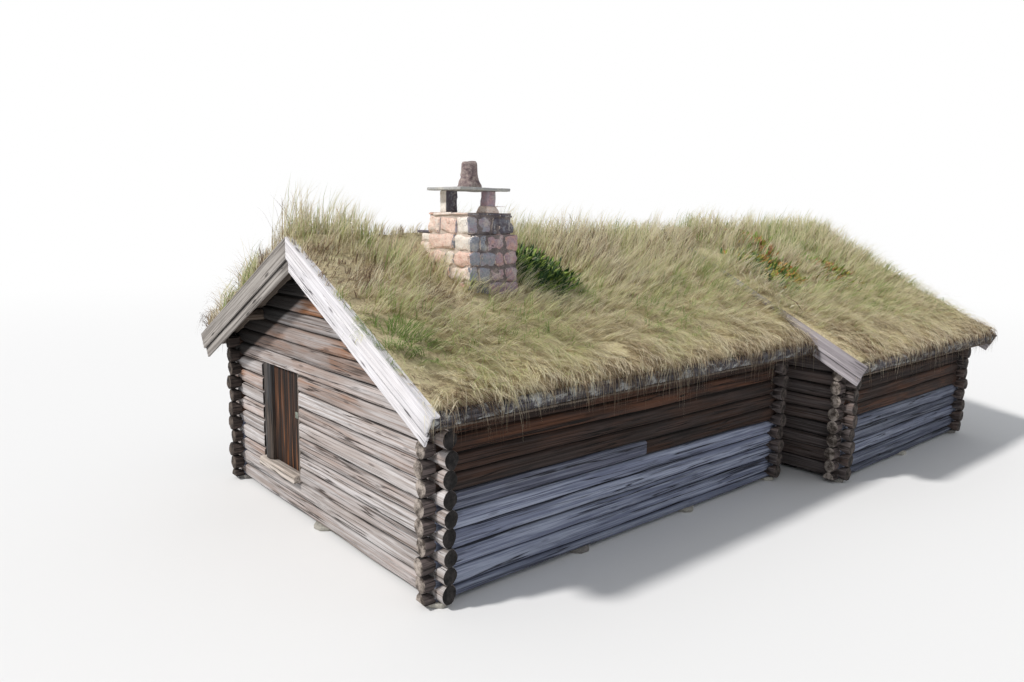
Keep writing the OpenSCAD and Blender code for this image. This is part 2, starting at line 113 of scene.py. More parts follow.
def copy_node(node, name):
    """A copy of a frame node, with its loose triangles merged and its flat faces joined"""
    piece = copy_mesh(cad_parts[node], name)
    piece.data.materials.clear()
    with editing(piece, "FACE"):
        bpy.ops.mesh.select_all(action="SELECT")
        bpy.ops.mesh.remove_doubles(threshold=0.0001)
        bpy.ops.mesh.dissolve_limited(angle_limit=math.radians(1))
    return piece


def select_faces(piece, test):
    """Selects the faces, in edit mode, whose centre and normal pass a test"""
    bpy.ops.mesh.select_all(action="DESELECT")
    mesh = bmesh.from_edit_mesh(piece.data)
    for face in mesh.faces:
        if test(face.calc_center_median(), face.normal):
            face.select_set(True)
    bmesh.update_edit_mesh(piece.data)


def select_edges(piece, test):
    """Selects the edges, in edit mode, whose two ends pass a test"""
    bpy.ops.mesh.select_all(action="DESELECT")
    mesh = bmesh.from_edit_mesh(piece.data)
    for edge in mesh.edges:
        if test(edge.verts[0].co, edge.verts[1].co):
            edge.select_set(True)
    bmesh.update_edit_mesh(piece.data)


def everywhere(first, second):
    """Passes every edge"""
    return True


def level_in(axis):
    """A test for edges whose two ends lie level along an axis"""
    return lambda first, second: abs(first[axis] - second[axis]) < 0.001


def bevel_edges(piece, width, segments=2, test=everywhere):
    """Rounds the edges whose two ends pass a test"""
    with editing(piece, "EDGE"):
        select_edges(piece, test)
        bpy.ops.mesh.bevel(offset=width, segments=segments, affect="EDGES")


def subdivide(piece, cuts):
    """Divides every edge, for the roughness that follows"""
    with editing(piece, "EDGE"):
        bpy.ops.mesh.select_all(action="SELECT")
        bpy.ops.mesh.subdivide(number_cuts=cuts)


def slice_across(piece, axis, places, test=None):
    """Cuts a piece with flat planes across one axis, all over or only where faces pass a test"""
    with editing(piece, "FACE"):
        for place in places:
            if test:
                select_faces(piece, test)
            else:
                bpy.ops.mesh.select_all(action="SELECT")
            bpy.ops.mesh.bisect(plane_co=AXES[axis] * place, plane_no=AXES[axis])


def steps(low, high, step):
    """Places between two ends, about one step apart"""
    count = max(1, round((high - low) / step))
    return [low + (high - low) * i / count for i in range(1, count)]


def apply_modifier(piece, kind, **settings):
    """Adds a modifier with its settings and applies it"""
    pick(piece)
    made = piece.modifiers.new(kind.title(), kind)
    for key, value in settings.items():
        setattr(made, key, value)
    bpy.ops.object.modifier_apply(modifier=made.name)


def cloud(size):
    """A cloud texture for displacement"""
    texture = bpy.data.textures.new("cloud", "CLOUDS")
    texture.noise_scale = size
    texture.noise_depth = 2
    return texture


def roughen(piece, strength, size, stretch=(1, 1, 1), offset=(0, 0, 0),
            direction="NORMAL", group="", middle=0.5):
    """Pushes a piece's surface in and out by a cloud that is stretched along the axes"""
    bpy.ops.object.empty_add(location=offset)
    guide = bpy.context.object
    guide.scale = stretch
    bpy.context.view_layer.update()
    apply_modifier(
        piece, "DISPLACE", texture=cloud(size), strength=strength, mid_level=middle,
        direction=direction, texture_coords="OBJECT", texture_coords_object=guide, vertex_group=group,
    )
    bpy.data.objects.remove(guide)


def stretch_along(axis, factor):
    """A stretch along one axis and none along the others"""
    return [factor if k == axis else 1 for k in range(3)]


def random_start(rng):
    """A place far off at random, so that no two pieces are roughened alike"""
    return [rng.uniform(-9, 9) for _ in range(3)]


def smooth(piece, degrees=50):
    """Shades a piece smooth, except over edges sharper than an angle"""
    pick(piece)
    bpy.ops.object.shade_smooth_by_angle(angle=math.radians(degrees))


def store(piece, name, value):
    """Stores a number on each face; it may be worked out from the face's centre and normal"""
    faces = piece.data.polygons
    values = [value(face.center, face.normal) if callable(value) else value for face in faces]
    attribute = piece.data.attributes.new(name, "FLOAT", "FACE")
    attribute.data.foreach_set("value", values)


def store_points(piece, **values):
    """Stores numbers on all points; each may be worked out from the point's place"""
    points = piece.data.vertices
    for name, value in values.items():
        attribute = piece.data.attributes.new(name, "FLOAT", "POINT")
        spots = [value(point.co) if callable(value) else value for point in points]
        attribute.data.foreach_set("value", spots)


def lay_grain(piece, way):
    """Stores each point's place along the grain, across it and through it; the grain runs along an
    axis, or the way that a function gives for a place"""
    spots = []
    for vertex in piece.data.vertices:
        along = way(vertex.co) if callable(way) else AXES[way]
        other = AXES[Z] if abs(along.z) < 0.9 else AXES[Y]
        across = along.cross(other).normalized()
        through = along.cross(across)
        spots += [vertex.co.dot(along), vertex.co.dot(across), vertex.co.dot(through)]
    attribute = piece.data.attributes.new("run", "FLOAT_VECTOR", "POINT")
    attribute.data.foreach_set("vector", spots)


def dress(piece, material, body, slot, *nodes):
    """Gives a piece its finish, its body and the frame nodes that it stands for"""
    piece.data.materials.clear()
    piece.data.materials.append(material)
    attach(piece, body)
    if nodes:
        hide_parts(*nodes)


def dress_node(node, material):
    """Gives a frame node that stays in view its finish"""
    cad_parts[node].data.materials.clear()
    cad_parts[node].data.materials.append(material)


def join(name, parts):
    """Joins pieces into one and names it"""
    bpy.ops.object.select_all(action="DESELECT")
    for part in parts:
        part.select_set(True)
    bpy.context.view_layer.objects.active = parts[0]
    if len(parts) > 1:
        bpy.ops.object.join()
    parts[0].name = name
    return parts[0]


def block(low, high):
    """A plain block between two corners, the start of a board or a stone"""
    bpy.ops.object.select_all(action="DESELECT")
    bpy.ops.mesh.primitive_cube_add(size=1, location=(Vector(low) + Vector(high)) / 2)
    piece = bpy.context.object
    piece.scale = Vector(high) - Vector(low)
    bpy.ops.object.transform_apply(location=True, rotation=True, scale=True)
    return piece


def board(low, high, axis, rng, edge=0.005, wear=0.005, step=0.2):
    """A worn board or timber between two corners, with its grain along an axis"""
    piece = block(low, high)
    bevel_edges(piece, edge, 1)
    slice_across(piece, axis, steps(low[axis], high[axis], step))
    roughen(piece, wear, 0.06, stretch_along(axis, 7), random_start(rng))
    store(piece, "tone", rng.random())
    lay_grain(piece, axis)
    smooth(piece)
    return piece


def timber(node, axis, step, tone, grain, material, slot="roof_wood", wear=0.0, rounded=True):
    """A copy of a node, cut across an axis into short lengths, with its grain and its finish"""
    piece = copy_node(node, node + "_worn")
    low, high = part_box(node)
    slice_across(piece, axis, steps(low[axis], high[axis], step))
    store(piece, "tone", tone)
    if wear:
        roughen(piece, wear, 0.2, stretch_along(axis, 4))
    lay_grain(piece, grain)
    if rounded:
        smooth(piece)
    dress(piece, material, "house", slot, node)


def keep_above(piece, floor):
    """Lifts the points that hang below a height"""
    for vertex in piece.data.vertices:
        vertex.co.z = max(vertex.co.z, floor)


def wear_stone(piece, step, edge, rough, tone):
    """Turns a plain copy of a frame stone into a rough one"""
    bevel_edges(piece, edge)
    corners = [vertex.co.copy() for vertex in piece.data.vertices]
    for axis in (X, Y, Z):
        places = [corner[axis] for corner in corners]
        slice_across(piece, axis, steps(min(places), max(places), step))
    roughen(piece, rough, 0.14)
    roughen(piece, rough * 0.4, 0.035)
    store(piece, "tone", tone)
    smooth(piece, 40)


def stone(low, high, tone, rng, edge=0.03, rough=0.03, cuts=4):
    """A rough stone between two corners, with a number for its colour"""
    piece = block(low, high)
    bevel_edges(piece, min(edge, 0.35 * min(Vector(high) - Vector(low))))
    subdivide(piece, cuts)
    start = random_start(rng)
    roughen(piece, rough, 0.14, offset=start)
    roughen(piece, rough * 0.35, 0.03, offset=start)
    store(piece, "tone", tone)
    smooth(piece, 40)
    return piece


def about(middle, change):
    """A turn or a change of size made about a point"""
    return Matrix.Translation(middle) @ change @ Matrix.Translation(-middle)


# Working with shader and geometry nodes


def paint(code):
    """A colour written as six hex digits, as the linear values that shaders take"""
    parts = [int(code[i:i + 2], 16) / 255 for i in (0, 2, 4)]
    return tuple(p / 12.92 if p <= 0.04045 else ((p + 0.055) / 1.055) ** 2.4 for p in parts) + (1.0,)


def add(tree, kind, inputs=None, **settings):
    """Adds a node: an input given as a socket is linked, and any other is set"""
    made = tree.nodes.new(kind)
    for key, value in settings.items():
        setattr(made, key, value)
    for key, value in (inputs or {}).items():
        if isinstance(value, bpy.types.NodeSocket):
            tree.links.new(value, made.inputs[key])
        else:
            made.inputs[key].default_value = value
    return made


def calc(tree, operation, *values, clamp=False):
    """The result of one sum"""
    made = add(
        tree, "ShaderNodeMath", dict(enumerate(values)), operation=operation, use_clamp=clamp,
    )
    return made.outputs[0]


def weighed(tree, first, share, second, other_share):
    """Two values added by their shares"""
    return calc(tree, "MULTIPLY_ADD", first, share, calc(tree, "MULTIPLY", second, other_share))


def varied(tree, value, other, amount):
    """A value moved up and down by another one, which lies around a half"""
    return calc(tree, "MULTIPLY_ADD", other, amount, calc(tree, "SUBTRACT", value, amount / 2))


def even(tree, value):
    """A vector or grey with one value for all three"""
    return add(tree, "ShaderNodeCombineXYZ", {0: value, 1: value, 2: value}).outputs[0]


def blend(tree, factor, first, second, kind="MIX"):
    """Two colours mixed by a factor"""
    made = add(tree, "ShaderNodeMix", {
        0: factor, 6: first, 7: second,
    }, data_type="RGBA", blend_type=kind)
    return made.outputs[2]


def band(tree, value, low, high, start=0.0, end=1.0):
    """A value carried from one range to another, smoothly and clamped"""
    made = add(tree, "ShaderNodeMapRange", {
        0: value, 1: low, 2: high, 3: start, 4: end,
    }, interpolation_type="SMOOTHSTEP")
    return made.outputs[0]


def shades(tree, value, *stops):
    """A colour ramp with stops given as place and colour"""
    made = add(tree, "ShaderNodeValToRGB", {0: value})
    ramp = made.color_ramp
    while len(ramp.elements) < len(stops):
        ramp.elements.new(0.5)
    for element, (place, colour) in zip(ramp.elements, stops):
        element.position = place
        element.color = paint(colour)
    return made.outputs[0]


def noise(tree, vector, scale, detail, roughness, distortion=0.0):
    """Noise of one scale"""
    made = add(tree, "ShaderNodeTexNoise", {
        "Vector": vector, "Scale": scale, "Detail": detail, "Roughness": roughness,
        "Distortion": distortion,
    })
    return made.outputs[0]


def stretched(tree, vector, along, across, offset=(0, 0, 0)):
    """A vector scaled along the grain and across it"""
    return add(tree, "ShaderNodeMapping", {
        "Vector": vector, "Scale": (along, across, across), "Location": offset,
    }).outputs[0]


def fibres(tree, vector, along, across, detail, roughness, distortion=0.0, offset=(0, 0, 0)):
    """Noise drawn out along the grain"""
    run = stretched(tree, vector, along, across, offset)
    return noise(tree, run, 1.0, detail, roughness, distortion)


def number(tree, name):
    """A number that the mesh stores"""
    return add(tree, "ShaderNodeAttribute", attribute_name=name).outputs["Fac"]


def along_grain(tree):
    """The place along, across and through the grain, which the mesh stores"""
    return add(tree, "ShaderNodeAttribute", attribute_name="run").outputs["Vector"]


def mix_surface(tree, factor, first, second, output="Material Output"):
    """Mixes two shaders and makes them the surface"""
    mixed = add(tree, "ShaderNodeMixShader", {0: factor, 1: first, 2: second})
    tree.links.new(mixed.outputs[0], tree.nodes[output].inputs["Surface"])


def new_group(name, inputs, outputs):
    """An empty shader group with named sockets, each given as name, kind and starting value"""
    tree = bpy.data.node_groups.new(name, "ShaderNodeTree")
    for label, kind, value in inputs:
        socket = tree.interface.new_socket(label, in_out="INPUT", socket_type=kind)
        if value is not None:
            socket.default_value = value
    for label, kind in outputs:
        tree.interface.new_socket(label, in_out="OUTPUT", socket_type=kind)
    return tree, tree.nodes.new("NodeGroupInput").outputs, tree.nodes.new("NodeGroupOutput")


def place_group(tree, group, **values):
    """Places a shader group in a material with its own values"""
    made = tree.nodes.new("ShaderNodeGroup")
    made.node_tree = group
    for key, value in values.items():
        if isinstance(value, bpy.types.NodeSocket):
            tree.links.new(value, made.inputs[key])
        else:
            made.inputs[key].default_value = value
    return made.outputs


def new_material(name, roughness=0.85, specular=0.3):
    """A material with its tree, its shader and the object coordinates"""
    material = bpy.data.materials.new(name)
    material.use_nodes = True
    tree = material.node_tree
    shader = tree.nodes["Principled BSDF"]
    shader.inputs["Roughness"].default_value = roughness
    shader.inputs["Specular IOR Level"].default_value = specular
    place = add(tree, "ShaderNodeTexCoord").outputs["Object"]
    return material, tree, shader, place


def finish_material(tree, shader, colour, height=None, depth=0.01, roughness=None):
    """Links a colour, a bump and a roughness to the shader"""
    tree.links.new(colour, shader.inputs["Base Color"])
    if height is not None:
        bump = add(tree, "ShaderNodeBump", {"Height": height, "Distance": depth, "Strength": 1.0})
        tree.links.new(bump.outputs[0], shader.inputs["Normal"])
    if roughness is not None:
        tree.links.new(roughness, shader.inputs["Roughness"])


# Effects that more than one finish uses


def grain_group():
    """Weathered grain along X: streaks, fibres, long drying cracks, knots and stains, with painted
    shade along the seams between logs
    """
    tree, inside, out = new_group("weathered grain", [
        ("Vector", "NodeSocketVector", None),
        ("Pale", "NodeSocketColor", paint("a9a49c")),
        ("Middle", "NodeSocketColor", paint("857c72")),
        ("Dark", "NodeSocketColor", paint("3c342e")),
        ("Warm", "NodeSocketColor", paint("8f6440")),
        ("Tone", "NodeSocketFloat", 0.5),
        ("Warmth", "NodeSocketFloat", 0.3),
        ("Cracks", "NodeSocketFloat", 0.5),
        ("Knots", "NodeSocketFloat", 0.3),
        ("Contrast", "NodeSocketFloat", 0.5),
        ("Seam", "NodeSocketFloat", 0.0),
    ], [("Color", "NodeSocketColor"), ("Roughness", "NodeSocketFloat"), ("Height", "NodeSocketFloat")])
    shift = calc(tree, "MULTIPLY", inside["Tone"], 37.0)
    moved = add(tree, "ShaderNodeVectorMath", {0: inside["Vector"], 1: even(tree, shift)}).outputs[0]
    fibre = fibres(tree, moved, 1.6, 100, 4.0, 0.7)
    streak = fibres(tree, moved, 0.45, 30, 4.0, 0.7, 0.2)
    vein = fibres(tree, moved, 0.45, 17, 4.0, 0.7, 0.3, (4, 9, 2))
    broad = fibres(tree, moved, 0.4, 5, 3.0, 0.55, 0.4)
    stain = fibres(tree, moved, 0.9, 3.2, 3.0, 0.5, 0.5)
    split = fibres(tree, moved, 0.22, 12, 2.0, 0.5, 0.15)
    line = calc(tree, "ABSOLUTE", calc(tree, "SUBTRACT", split, 0.5))
    crack = band(tree, line, calc(tree, "MULTIPLY_ADD", inside["Cracks"], 0.03, 0.001), 0.0)
    held = calc(tree, "MULTIPLY", crack, band(tree, stain, 0.38, 0.52))
    cells = add(tree, "ShaderNodeTexVoronoi", {"Vector": stretched(tree, moved, 1.6, 7), "Scale": 1.0})
    knot = calc(tree, "MULTIPLY", band(tree, cells.outputs["Distance"], 0.17, 0.07), inside["Knots"])
    body = blend(tree, band(tree, streak, 0.4, 0.58), inside["Middle"], inside["Pale"])
    body = blend(tree, band(tree, broad, 0.52, 0.36, 0.0, 0.7), body, inside["Middle"])
    brown = calc(tree, "MULTIPLY", inside["Warmth"], band(tree, stain, 0.36, 0.6, 0.3, 1.0))
    brown = calc(tree, "MULTIPLY", brown, band(tree, vein, 0.4, 0.6, 0.5, 1.0))
    body = blend(tree, calc(tree, "MULTIPLY", brown, 1.0, clamp=True), body, inside["Warm"])
    deep = calc(tree, "MULTIPLY", band(tree, vein, 0.47, 0.3), inside["Contrast"])
    body = blend(tree, calc(tree, "MULTIPLY", deep, 0.9), body, inside["Dark"])
    body = blend(tree, band(tree, fibre, 0.48, 0.24, 0.0, 0.8), body, inside["Dark"])
    body = blend(tree, calc(tree, "MULTIPLY", held, 0.95), body, inside["Dark"])
    body = blend(tree, knot, body, inside["Dark"])
    tone_and_seam_shade = calc(tree, "MULTIPLY_ADD", inside["Tone"], 0.4, 0.78)
    # Painted shade: darker close to the seams between logs, where shade falls
    tone_and_seam_shade = calc(tree, "MULTIPLY", tone_and_seam_shade, band(tree, inside["Seam"], 0.3, 1.0, 1.0, 0.2))
    body = blend(tree, 1.0, body, even(tree, tone_and_seam_shade), "MULTIPLY")
    height = weighed(tree, fibre, 0.35, streak, 0.5)
    height = calc(tree, "MULTIPLY_ADD", vein, 0.5, height)
    height = calc(tree, "SUBTRACT", height, calc(tree, "MULTIPLY", held, 1.4))
    tree.links.new(body, out.inputs["Color"])
    tree.links.new(band(tree, streak, 0.3, 0.7, 0.92, 0.72), out.inputs["Roughness"])
    tree.links.new(height, out.inputs["Height"])
    return tree


def end_group():
    """Hewn log ends: dark and pale in patches"""
    tree, inside, out = new_group("log end", [
        ("Vector", "NodeSocketVector", None),
        ("Pale", "NodeSocketColor", paint("8d847a")),
        ("Dark", "NodeSocketColor", paint("3a332e")),
    ], [("Color", "NodeSocketColor"), ("Height", "NodeSocketFloat")])
    rough = noise(tree, inside["Vector"], 9.0, 4.0, 0.6)
    fine = noise(tree, inside["Vector"], 70.0, 3.0, 0.6)
    mixed = weighed(tree, fine, 0.25, rough, 0.8)
    colour = blend(tree, band(tree, mixed, 0.4, 0.68), inside["Dark"], inside["Pale"])
    tree.links.new(colour, out.inputs["Color"])
    tree.links.new(mixed, out.inputs["Height"])
    return tree


def growth_group():
    """Moss and lichen: a mask that gathers in patches"""
    tree, inside, out = new_group("growth", [
        ("Vector", "NodeSocketVector", None),
        ("Amount", "NodeSocketFloat", 0.4),
        ("Size", "NodeSocketFloat", 3.0),
    ], [("Mask", "NodeSocketFloat")])
    broad = noise(tree, inside["Vector"], inside["Size"], 4.0, 0.6)
    fine = noise(tree, inside["Vector"], 45.0, 3.0, 0.6)
    both = weighed(tree, fine, 0.35, broad, 0.75)
    edge = calc(tree, "SUBTRACT", 0.82, calc(tree, "MULTIPLY", inside["Amount"], 0.5))
    mask = band(tree, both, edge, calc(tree, "ADD", edge, 0.12))
    tree.links.new(mask, out.inputs["Mask"])
    return tree


GRAIN = grain_group()
LOG_END = end_group()
GROWTH = growth_group()


# Finishes

# How far straight down from the left slope's top the gable is painted black as the verge's shadow,
# over what stretch the painted shadow ends, and how black it is
VERGE_SHADOW_DEPTH = 0.62
VERGE_SHADOW_EDGE = 0.07
VERGE_SHADOW_DARKNESS = 0.965


def wood_finish(name, pale, middle, dark, warm="8a6a4c", warmth=0.1, cracks=0.35, knots=0.3,
                contrast=0.3, cool=None, ends=None, lichen=0.0, log=False, gap=False, shadow_under_verge=False):
    """Weathered wood; "cool" gives the colours of cool logs and "ends" those of log ends, "log" takes
    the warmth and the painted shade at the seams from what the wall stores, "gap" paints the shadow in
    the slot between two boards, and the last switch paints the left verge's shadow near black below it"""
    material, tree, shader, place = new_material(name)
    run = along_grain(tree)
    pale, middle, dark = paint(pale), paint(middle), paint(dark)
    seam = 0.0
    if log:
        warmth = number(tree, "brown")
        seam = number(tree, "seam")
    # Painted shadow: the upper board's shadow in the slot where the lower board comes out below it
    if gap:
        seam = band(tree, number(tree, "seam"), 0.7, 0.92)
    if cool:
        coolness = number(tree, "cool")
        pale = blend(tree, coolness, pale, paint(cool[0]))
        middle = blend(tree, coolness, middle, paint(cool[1]))
        dark = blend(tree, coolness, dark, paint(cool[2]))
        warmth = calc(tree, "MULTIPLY", warmth, calc(tree, "SUBTRACT", 1.0, coolness))
    wood = place_group(
        tree, GRAIN, Vector=run, Pale=pale, Middle=middle, Dark=dark, Warm=paint(warm),
        Tone=number(tree, "tone"), Warmth=warmth, Cracks=cracks, Knots=knots, Contrast=contrast,
        Seam=seam,
    )
    colour, height = wood["Color"], wood["Height"]
    if ends:
        cut = place_group(tree, LOG_END, Vector=place, Pale=paint(ends[0]), Dark=paint(ends[1]))
        end = number(tree, "end")
        colour = blend(tree, end, colour, cut["Color"])
        height = blend(tree, end, height, cut["Height"])
    if lichen:
        grey = place_group(tree, GROWTH, Vector=place, Amount=lichen, Size=7.0)
        colour = blend(tree, calc(tree, "MULTIPLY", grey["Mask"], 0.8), colour, paint("b4b6b4"))
    # Painted shadow: the left verge's cast shadow, painted near black on what lies close under it
    if shadow_under_verge:
        spot = add(tree, "ShaderNodeSeparateXYZ", {0: place}).outputs
        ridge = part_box("front_cap_boards")[1].z
        above = calc(tree, "MULTIPLY_ADD", spot[X], math.tan(FRONT_SLOPE), ridge)
        under = calc(tree, "SUBTRACT", above, spot[Z])
        painted_verge_shadow = band(tree, under, VERGE_SHADOW_DEPTH, VERGE_SHADOW_DEPTH + VERGE_SHADOW_EDGE, VERGE_SHADOW_DARKNESS, 0.0)
        colour = blend(tree, painted_verge_shadow, colour, paint("0d0b0a"))
    finish_material(tree, shader, colour, height, 0.012, wood["Roughness"])
    return material


def stone_finish(name, joint, *stops):
    """Rough field stone, coloured by the number stored on each stone and by patches"""
    material, tree, shader, place = new_material(name, 0.9)
    tone = number(tree, "tone")
    patch = noise(tree, place, 12.0, 5.0, 0.7, 0.5)
    speck = noise(tree, place, 45.0, 4.0, 0.75)
    body = shades(tree, varied(tree, tone, patch, 0.6), *stops)
    body = blend(tree, band(tree, speck, 0.5, 0.3, 0.0, 0.55), body, paint("4b4346"))
    body = blend(tree, band(tree, speck, 0.56, 0.72, 0.0, 0.5), body, paint("ddd2c8"))
    grey = place_group(tree, GROWTH, Vector=place, Amount=0.5, Size=5.0)
    body = blend(tree, calc(tree, "MULTIPLY", grey["Mask"], 0.55), body, paint(joint))
    height = calc(tree, "MULTIPLY_ADD", speck, 0.4, patch)
    finish_material(tree, shader, body, height, 0.02)
    return material


def mortar_finish():
    """Lime mortar: pale and dark in patches, and darker on the chimney's near side, where it is partly
    painted shade
    """
    material, tree, shader, place = new_material("lime mortar", 0.95, 0.15)
    patch = noise(tree, place, 5.0, 5.0, 0.6)
    speck = noise(tree, place, 50.0, 4.0, 0.7)
    mixed = weighed(tree, speck, 0.4, patch, 0.6)
    mixed = calc(tree, "MULTIPLY_ADD", number(tree, "tone"), 0.25, mixed)
    colour = shades(tree, mixed, (0.38, "5d5658"), (0.55, "8f8584"), (0.75, "d5c6ba"))
    finish_material(tree, shader, colour, speck, 0.02)
    return material


def metal_finish(name, roughness, specular, metal, scale, *stops):
    """Worn metal, coloured in patches"""
    material, tree, shader, place = new_material(name, roughness, specular)
    patch = noise(tree, place, scale, 5.0, 0.65)
    shader.inputs["Metallic"].default_value = metal
    finish_material(tree, shader, shades(tree, patch, *stops), patch, 0.002)
    return material


def soil_finish():
    """Turf seen between the blades: peat, dead moss and green moss"""
    material, tree, shader, place = new_material("turf and moss", 0.95, 0.15)
    broad = noise(tree, place, 1.8, 5.0, 0.65, 0.4)
    fine = noise(tree, place, 30.0, 6.0, 0.75)
    mixed = weighed(tree, fine, 0.6, broad, 0.4)
    colour = shades(
        tree, mixed, (0.34, "85765c"), (0.45, "b8a88a"), (0.54, "d9cca6"), (0.66, "cfcd9c"),
    )
    finish_material(tree, shader, colour, fine, 0.04)
    return material


# How far a blade's shading normal is turned up, and the share of its light that comes through it
BLADE_LIFT = 1.5
BLADE_GLOW = 0.6


def grass_finish():
    """Grass blades: dark at the root, and from green to straw to grey by the dryness stored on them;
    each takes light from above and lets part of it through, as thin blades do"""
    material, tree, shader, _ = new_material("roof grass", 0.9, 0.0)
    spread = varied(tree, number(tree, "dry"), number(tree, "sway"), 0.66)
    spread = varied(tree, spread, number(tree, "hue"), 0.36)
    leaf = shades(
        tree, spread, (0.0, "7f9a58"), (0.14, "a9ba7a"), (0.28, "d4d69f"), (0.42, "f0eac6"),
        (0.58, "f6f0d8"), (0.74, "f0e2c6"), (0.87, "bda78e"), (1.0, "786659"),
    )
    root = shades(tree, spread, (0.0, "8e9d62"), (0.4, "c6bb8a"), (1.0, "a8937d"))
    colour = blend(tree, band(tree, number(tree, "along"), 0.0, 0.26), root, leaf)
    facing = add(tree, "ShaderNodeNewGeometry").outputs["Normal"]
    raised = add(tree, "ShaderNodeVectorMath", {0: facing, 1: (0.0, 0.0, BLADE_LIFT)}).outputs[0]
    tilt = add(tree, "ShaderNodeVectorMath", {0: raised}, operation="NORMALIZE").outputs[0]
    tree.links.new(tilt, shader.inputs["Normal"])
    finish_material(tree, shader, colour)
    through = add(tree, "ShaderNodeBsdfTranslucent", {"Color": colour}).outputs[0]
    mix_surface(tree, BLADE_GLOW, shader.outputs[0], through)
    return material


def leaf_finish():
    """Low leafy growth: dark green, with some yellow and red"""
    material, tree, shader, _ = new_material("low leaves", 0.6, 0.3)
    spread = weighed(tree, number(tree, "sway"), 0.5, number(tree, "dry"), 0.5)
    colour = shades(
        tree, spread, (0.1, "26401f"), (0.35, "3f6030"), (0.55, "8fa548"), (0.75, "a8793f"),
        (0.95, "8a4a35"),
    )
    finish_material(tree, shader, colour)
    return material


def floor_finish():
    """Pale floor: it shows near white to the camera and keeps the shadow"""
    material, tree, shader, place = new_material("pale floor", 0.9, 0.1)
    shader.inputs["Base Color"].default_value = (0.8, 0.8, 0.8, 1)
    path = add(tree, "ShaderNodeLightPath")
    away = add(tree, "ShaderNodeVectorMath", {0: place}, operation="LENGTH").outputs["Value"]
    far = calc(tree, "MULTIPLY", path.outputs["Is Camera Ray"], band(tree, away, 12.0, 40.0))
    white = add(tree, "ShaderNodeEmission", {"Color": WHITE, "Strength": 1.0})
    mix_surface(tree, far, shader.outputs[0], white.outputs[0])
    return material


# The view: camera, light and floor


def set_camera():
    bpy.ops.object.camera_add()
    camera = bpy.context.object
    camera.name = "camera"
    turn = Matrix.Rotation(math.radians(LOOK_AZIMUTH), 4, "Z")
    tip = Matrix.Rotation(math.radians(90 - LOOK_DOWN), 4, "X")
    roll = Matrix.Rotation(math.radians(LOOK_ROLL), 4, "Z")
    camera.matrix_world = Matrix.Translation(EYE) @ turn @ tip @ roll
    camera.data.lens = LENS_MM
    camera.data.sensor_width = SENSOR_MM
    camera.data.sensor_fit = "HORIZONTAL"
    camera.data.clip_end = 500
    bpy.context.scene.camera = camera


def set_light():
    world = bpy.data.worlds.new("sky")
    bpy.context.scene.world = world
    world.use_nodes = True
    tree = world.node_tree
    sky = tree.nodes["Background"]
    sky.inputs["Color"].default_value = SKY_COLOUR
    sky.inputs["Strength"].default_value = SKY_STRENGTH
    white = add(tree, "ShaderNodeBackground", {"Color": WHITE, "Strength": 1.0})
    path = add(tree, "ShaderNodeLightPath")
    seen = calc(tree, "MAXIMUM", path.outputs["Is Camera Ray"], path.outputs["Is Glossy Ray"])
    mix_surface(tree, seen, sky.outputs[0], white.outputs[0], "World Output")
    turn = (math.radians(SUN_DOWN), 0, math.radians(SUN_ROUND))
    bpy.ops.object.light_add(type="SUN", rotation=turn)
    sun = bpy.context.object
    sun.data.energy = SUN_STRENGTH
    sun.data.angle = math.radians(SUN_WIDTH)
    sun.data.color = SUN_COLOUR


def set_floor():
    bpy.ops.object.select_all(action="DESELECT")
    bpy.ops.mesh.primitive_plane_add(size=400)
    floor = bpy.context.object
    floor.name = "floor"
    floor.data.materials.append(floor_finish())


# Log walls

# The cool grey logs of the side walls lie below this height, and on the near side one log more
# is cool as far as its scarf joint, though less so
COOL_TOP = STONE_TOP + 4.5 * COURSE
SCARF_Y = -2.79
SCARF_COOLNESS = 0.75

# How far the ends of the side logs stand out past the gables, and how much higher the tone of
# those ends is on the right walls and on the left ones
OUT = 0.18
RIGHT_END_TONE = 9.0
LEFT_END_TONE = 0.6

# How brown and how pale the gable's logs are, from the lowest course up, and how brown the logs
# left of the doorway are; the dark tones of the top courses are partly painted shade under the apex
GABLE_BROWN = (
    0.25, 0.1, 0.2, 0.1, 0.25, 0.1, 0.3, 0.2, 0.6, 0.3, 0.75, 0.85, 0.25, 1.1, 0.7, 0.6, 0.5,
)
GABLE_TONE = (
    0.2, 0.4, 0.2, 0.6, 0.4, 0.7, 0.4, 0.6, 0.2, 0.4, -0.3, 0.0, -0.4, -0.1, -0.6, -0.8, -0.8,
)
LEFT_BROWN = (0.3, 0.2, 0.4, 0.1, 0.1, 0.45, 0.1, 1.1, 0.2)

# More courses than any wall has
COURSES = 40

# How far from the seams between courses a log gets painted shade
SEAM_SHADE_REACH = 0.026


def warp_group(piece):
    """Weights that let the courses wander, but not next to the doorway"""
    low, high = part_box("door_post")
    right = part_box("door_jamb")[1].x
    group = piece.vertex_groups.new(name="loose")
    for vertex in piece.data.vertices:
        x, y, z = vertex.co
        away = max(
            low.x - 0.1 - x, x - right, y - 0.3 - high.y, low.z - 0.15 - z, z - high.z - 0.15,
        )
        group.add([vertex.index], min(1.0, max(0.0, away / 0.5)), "REPLACE")


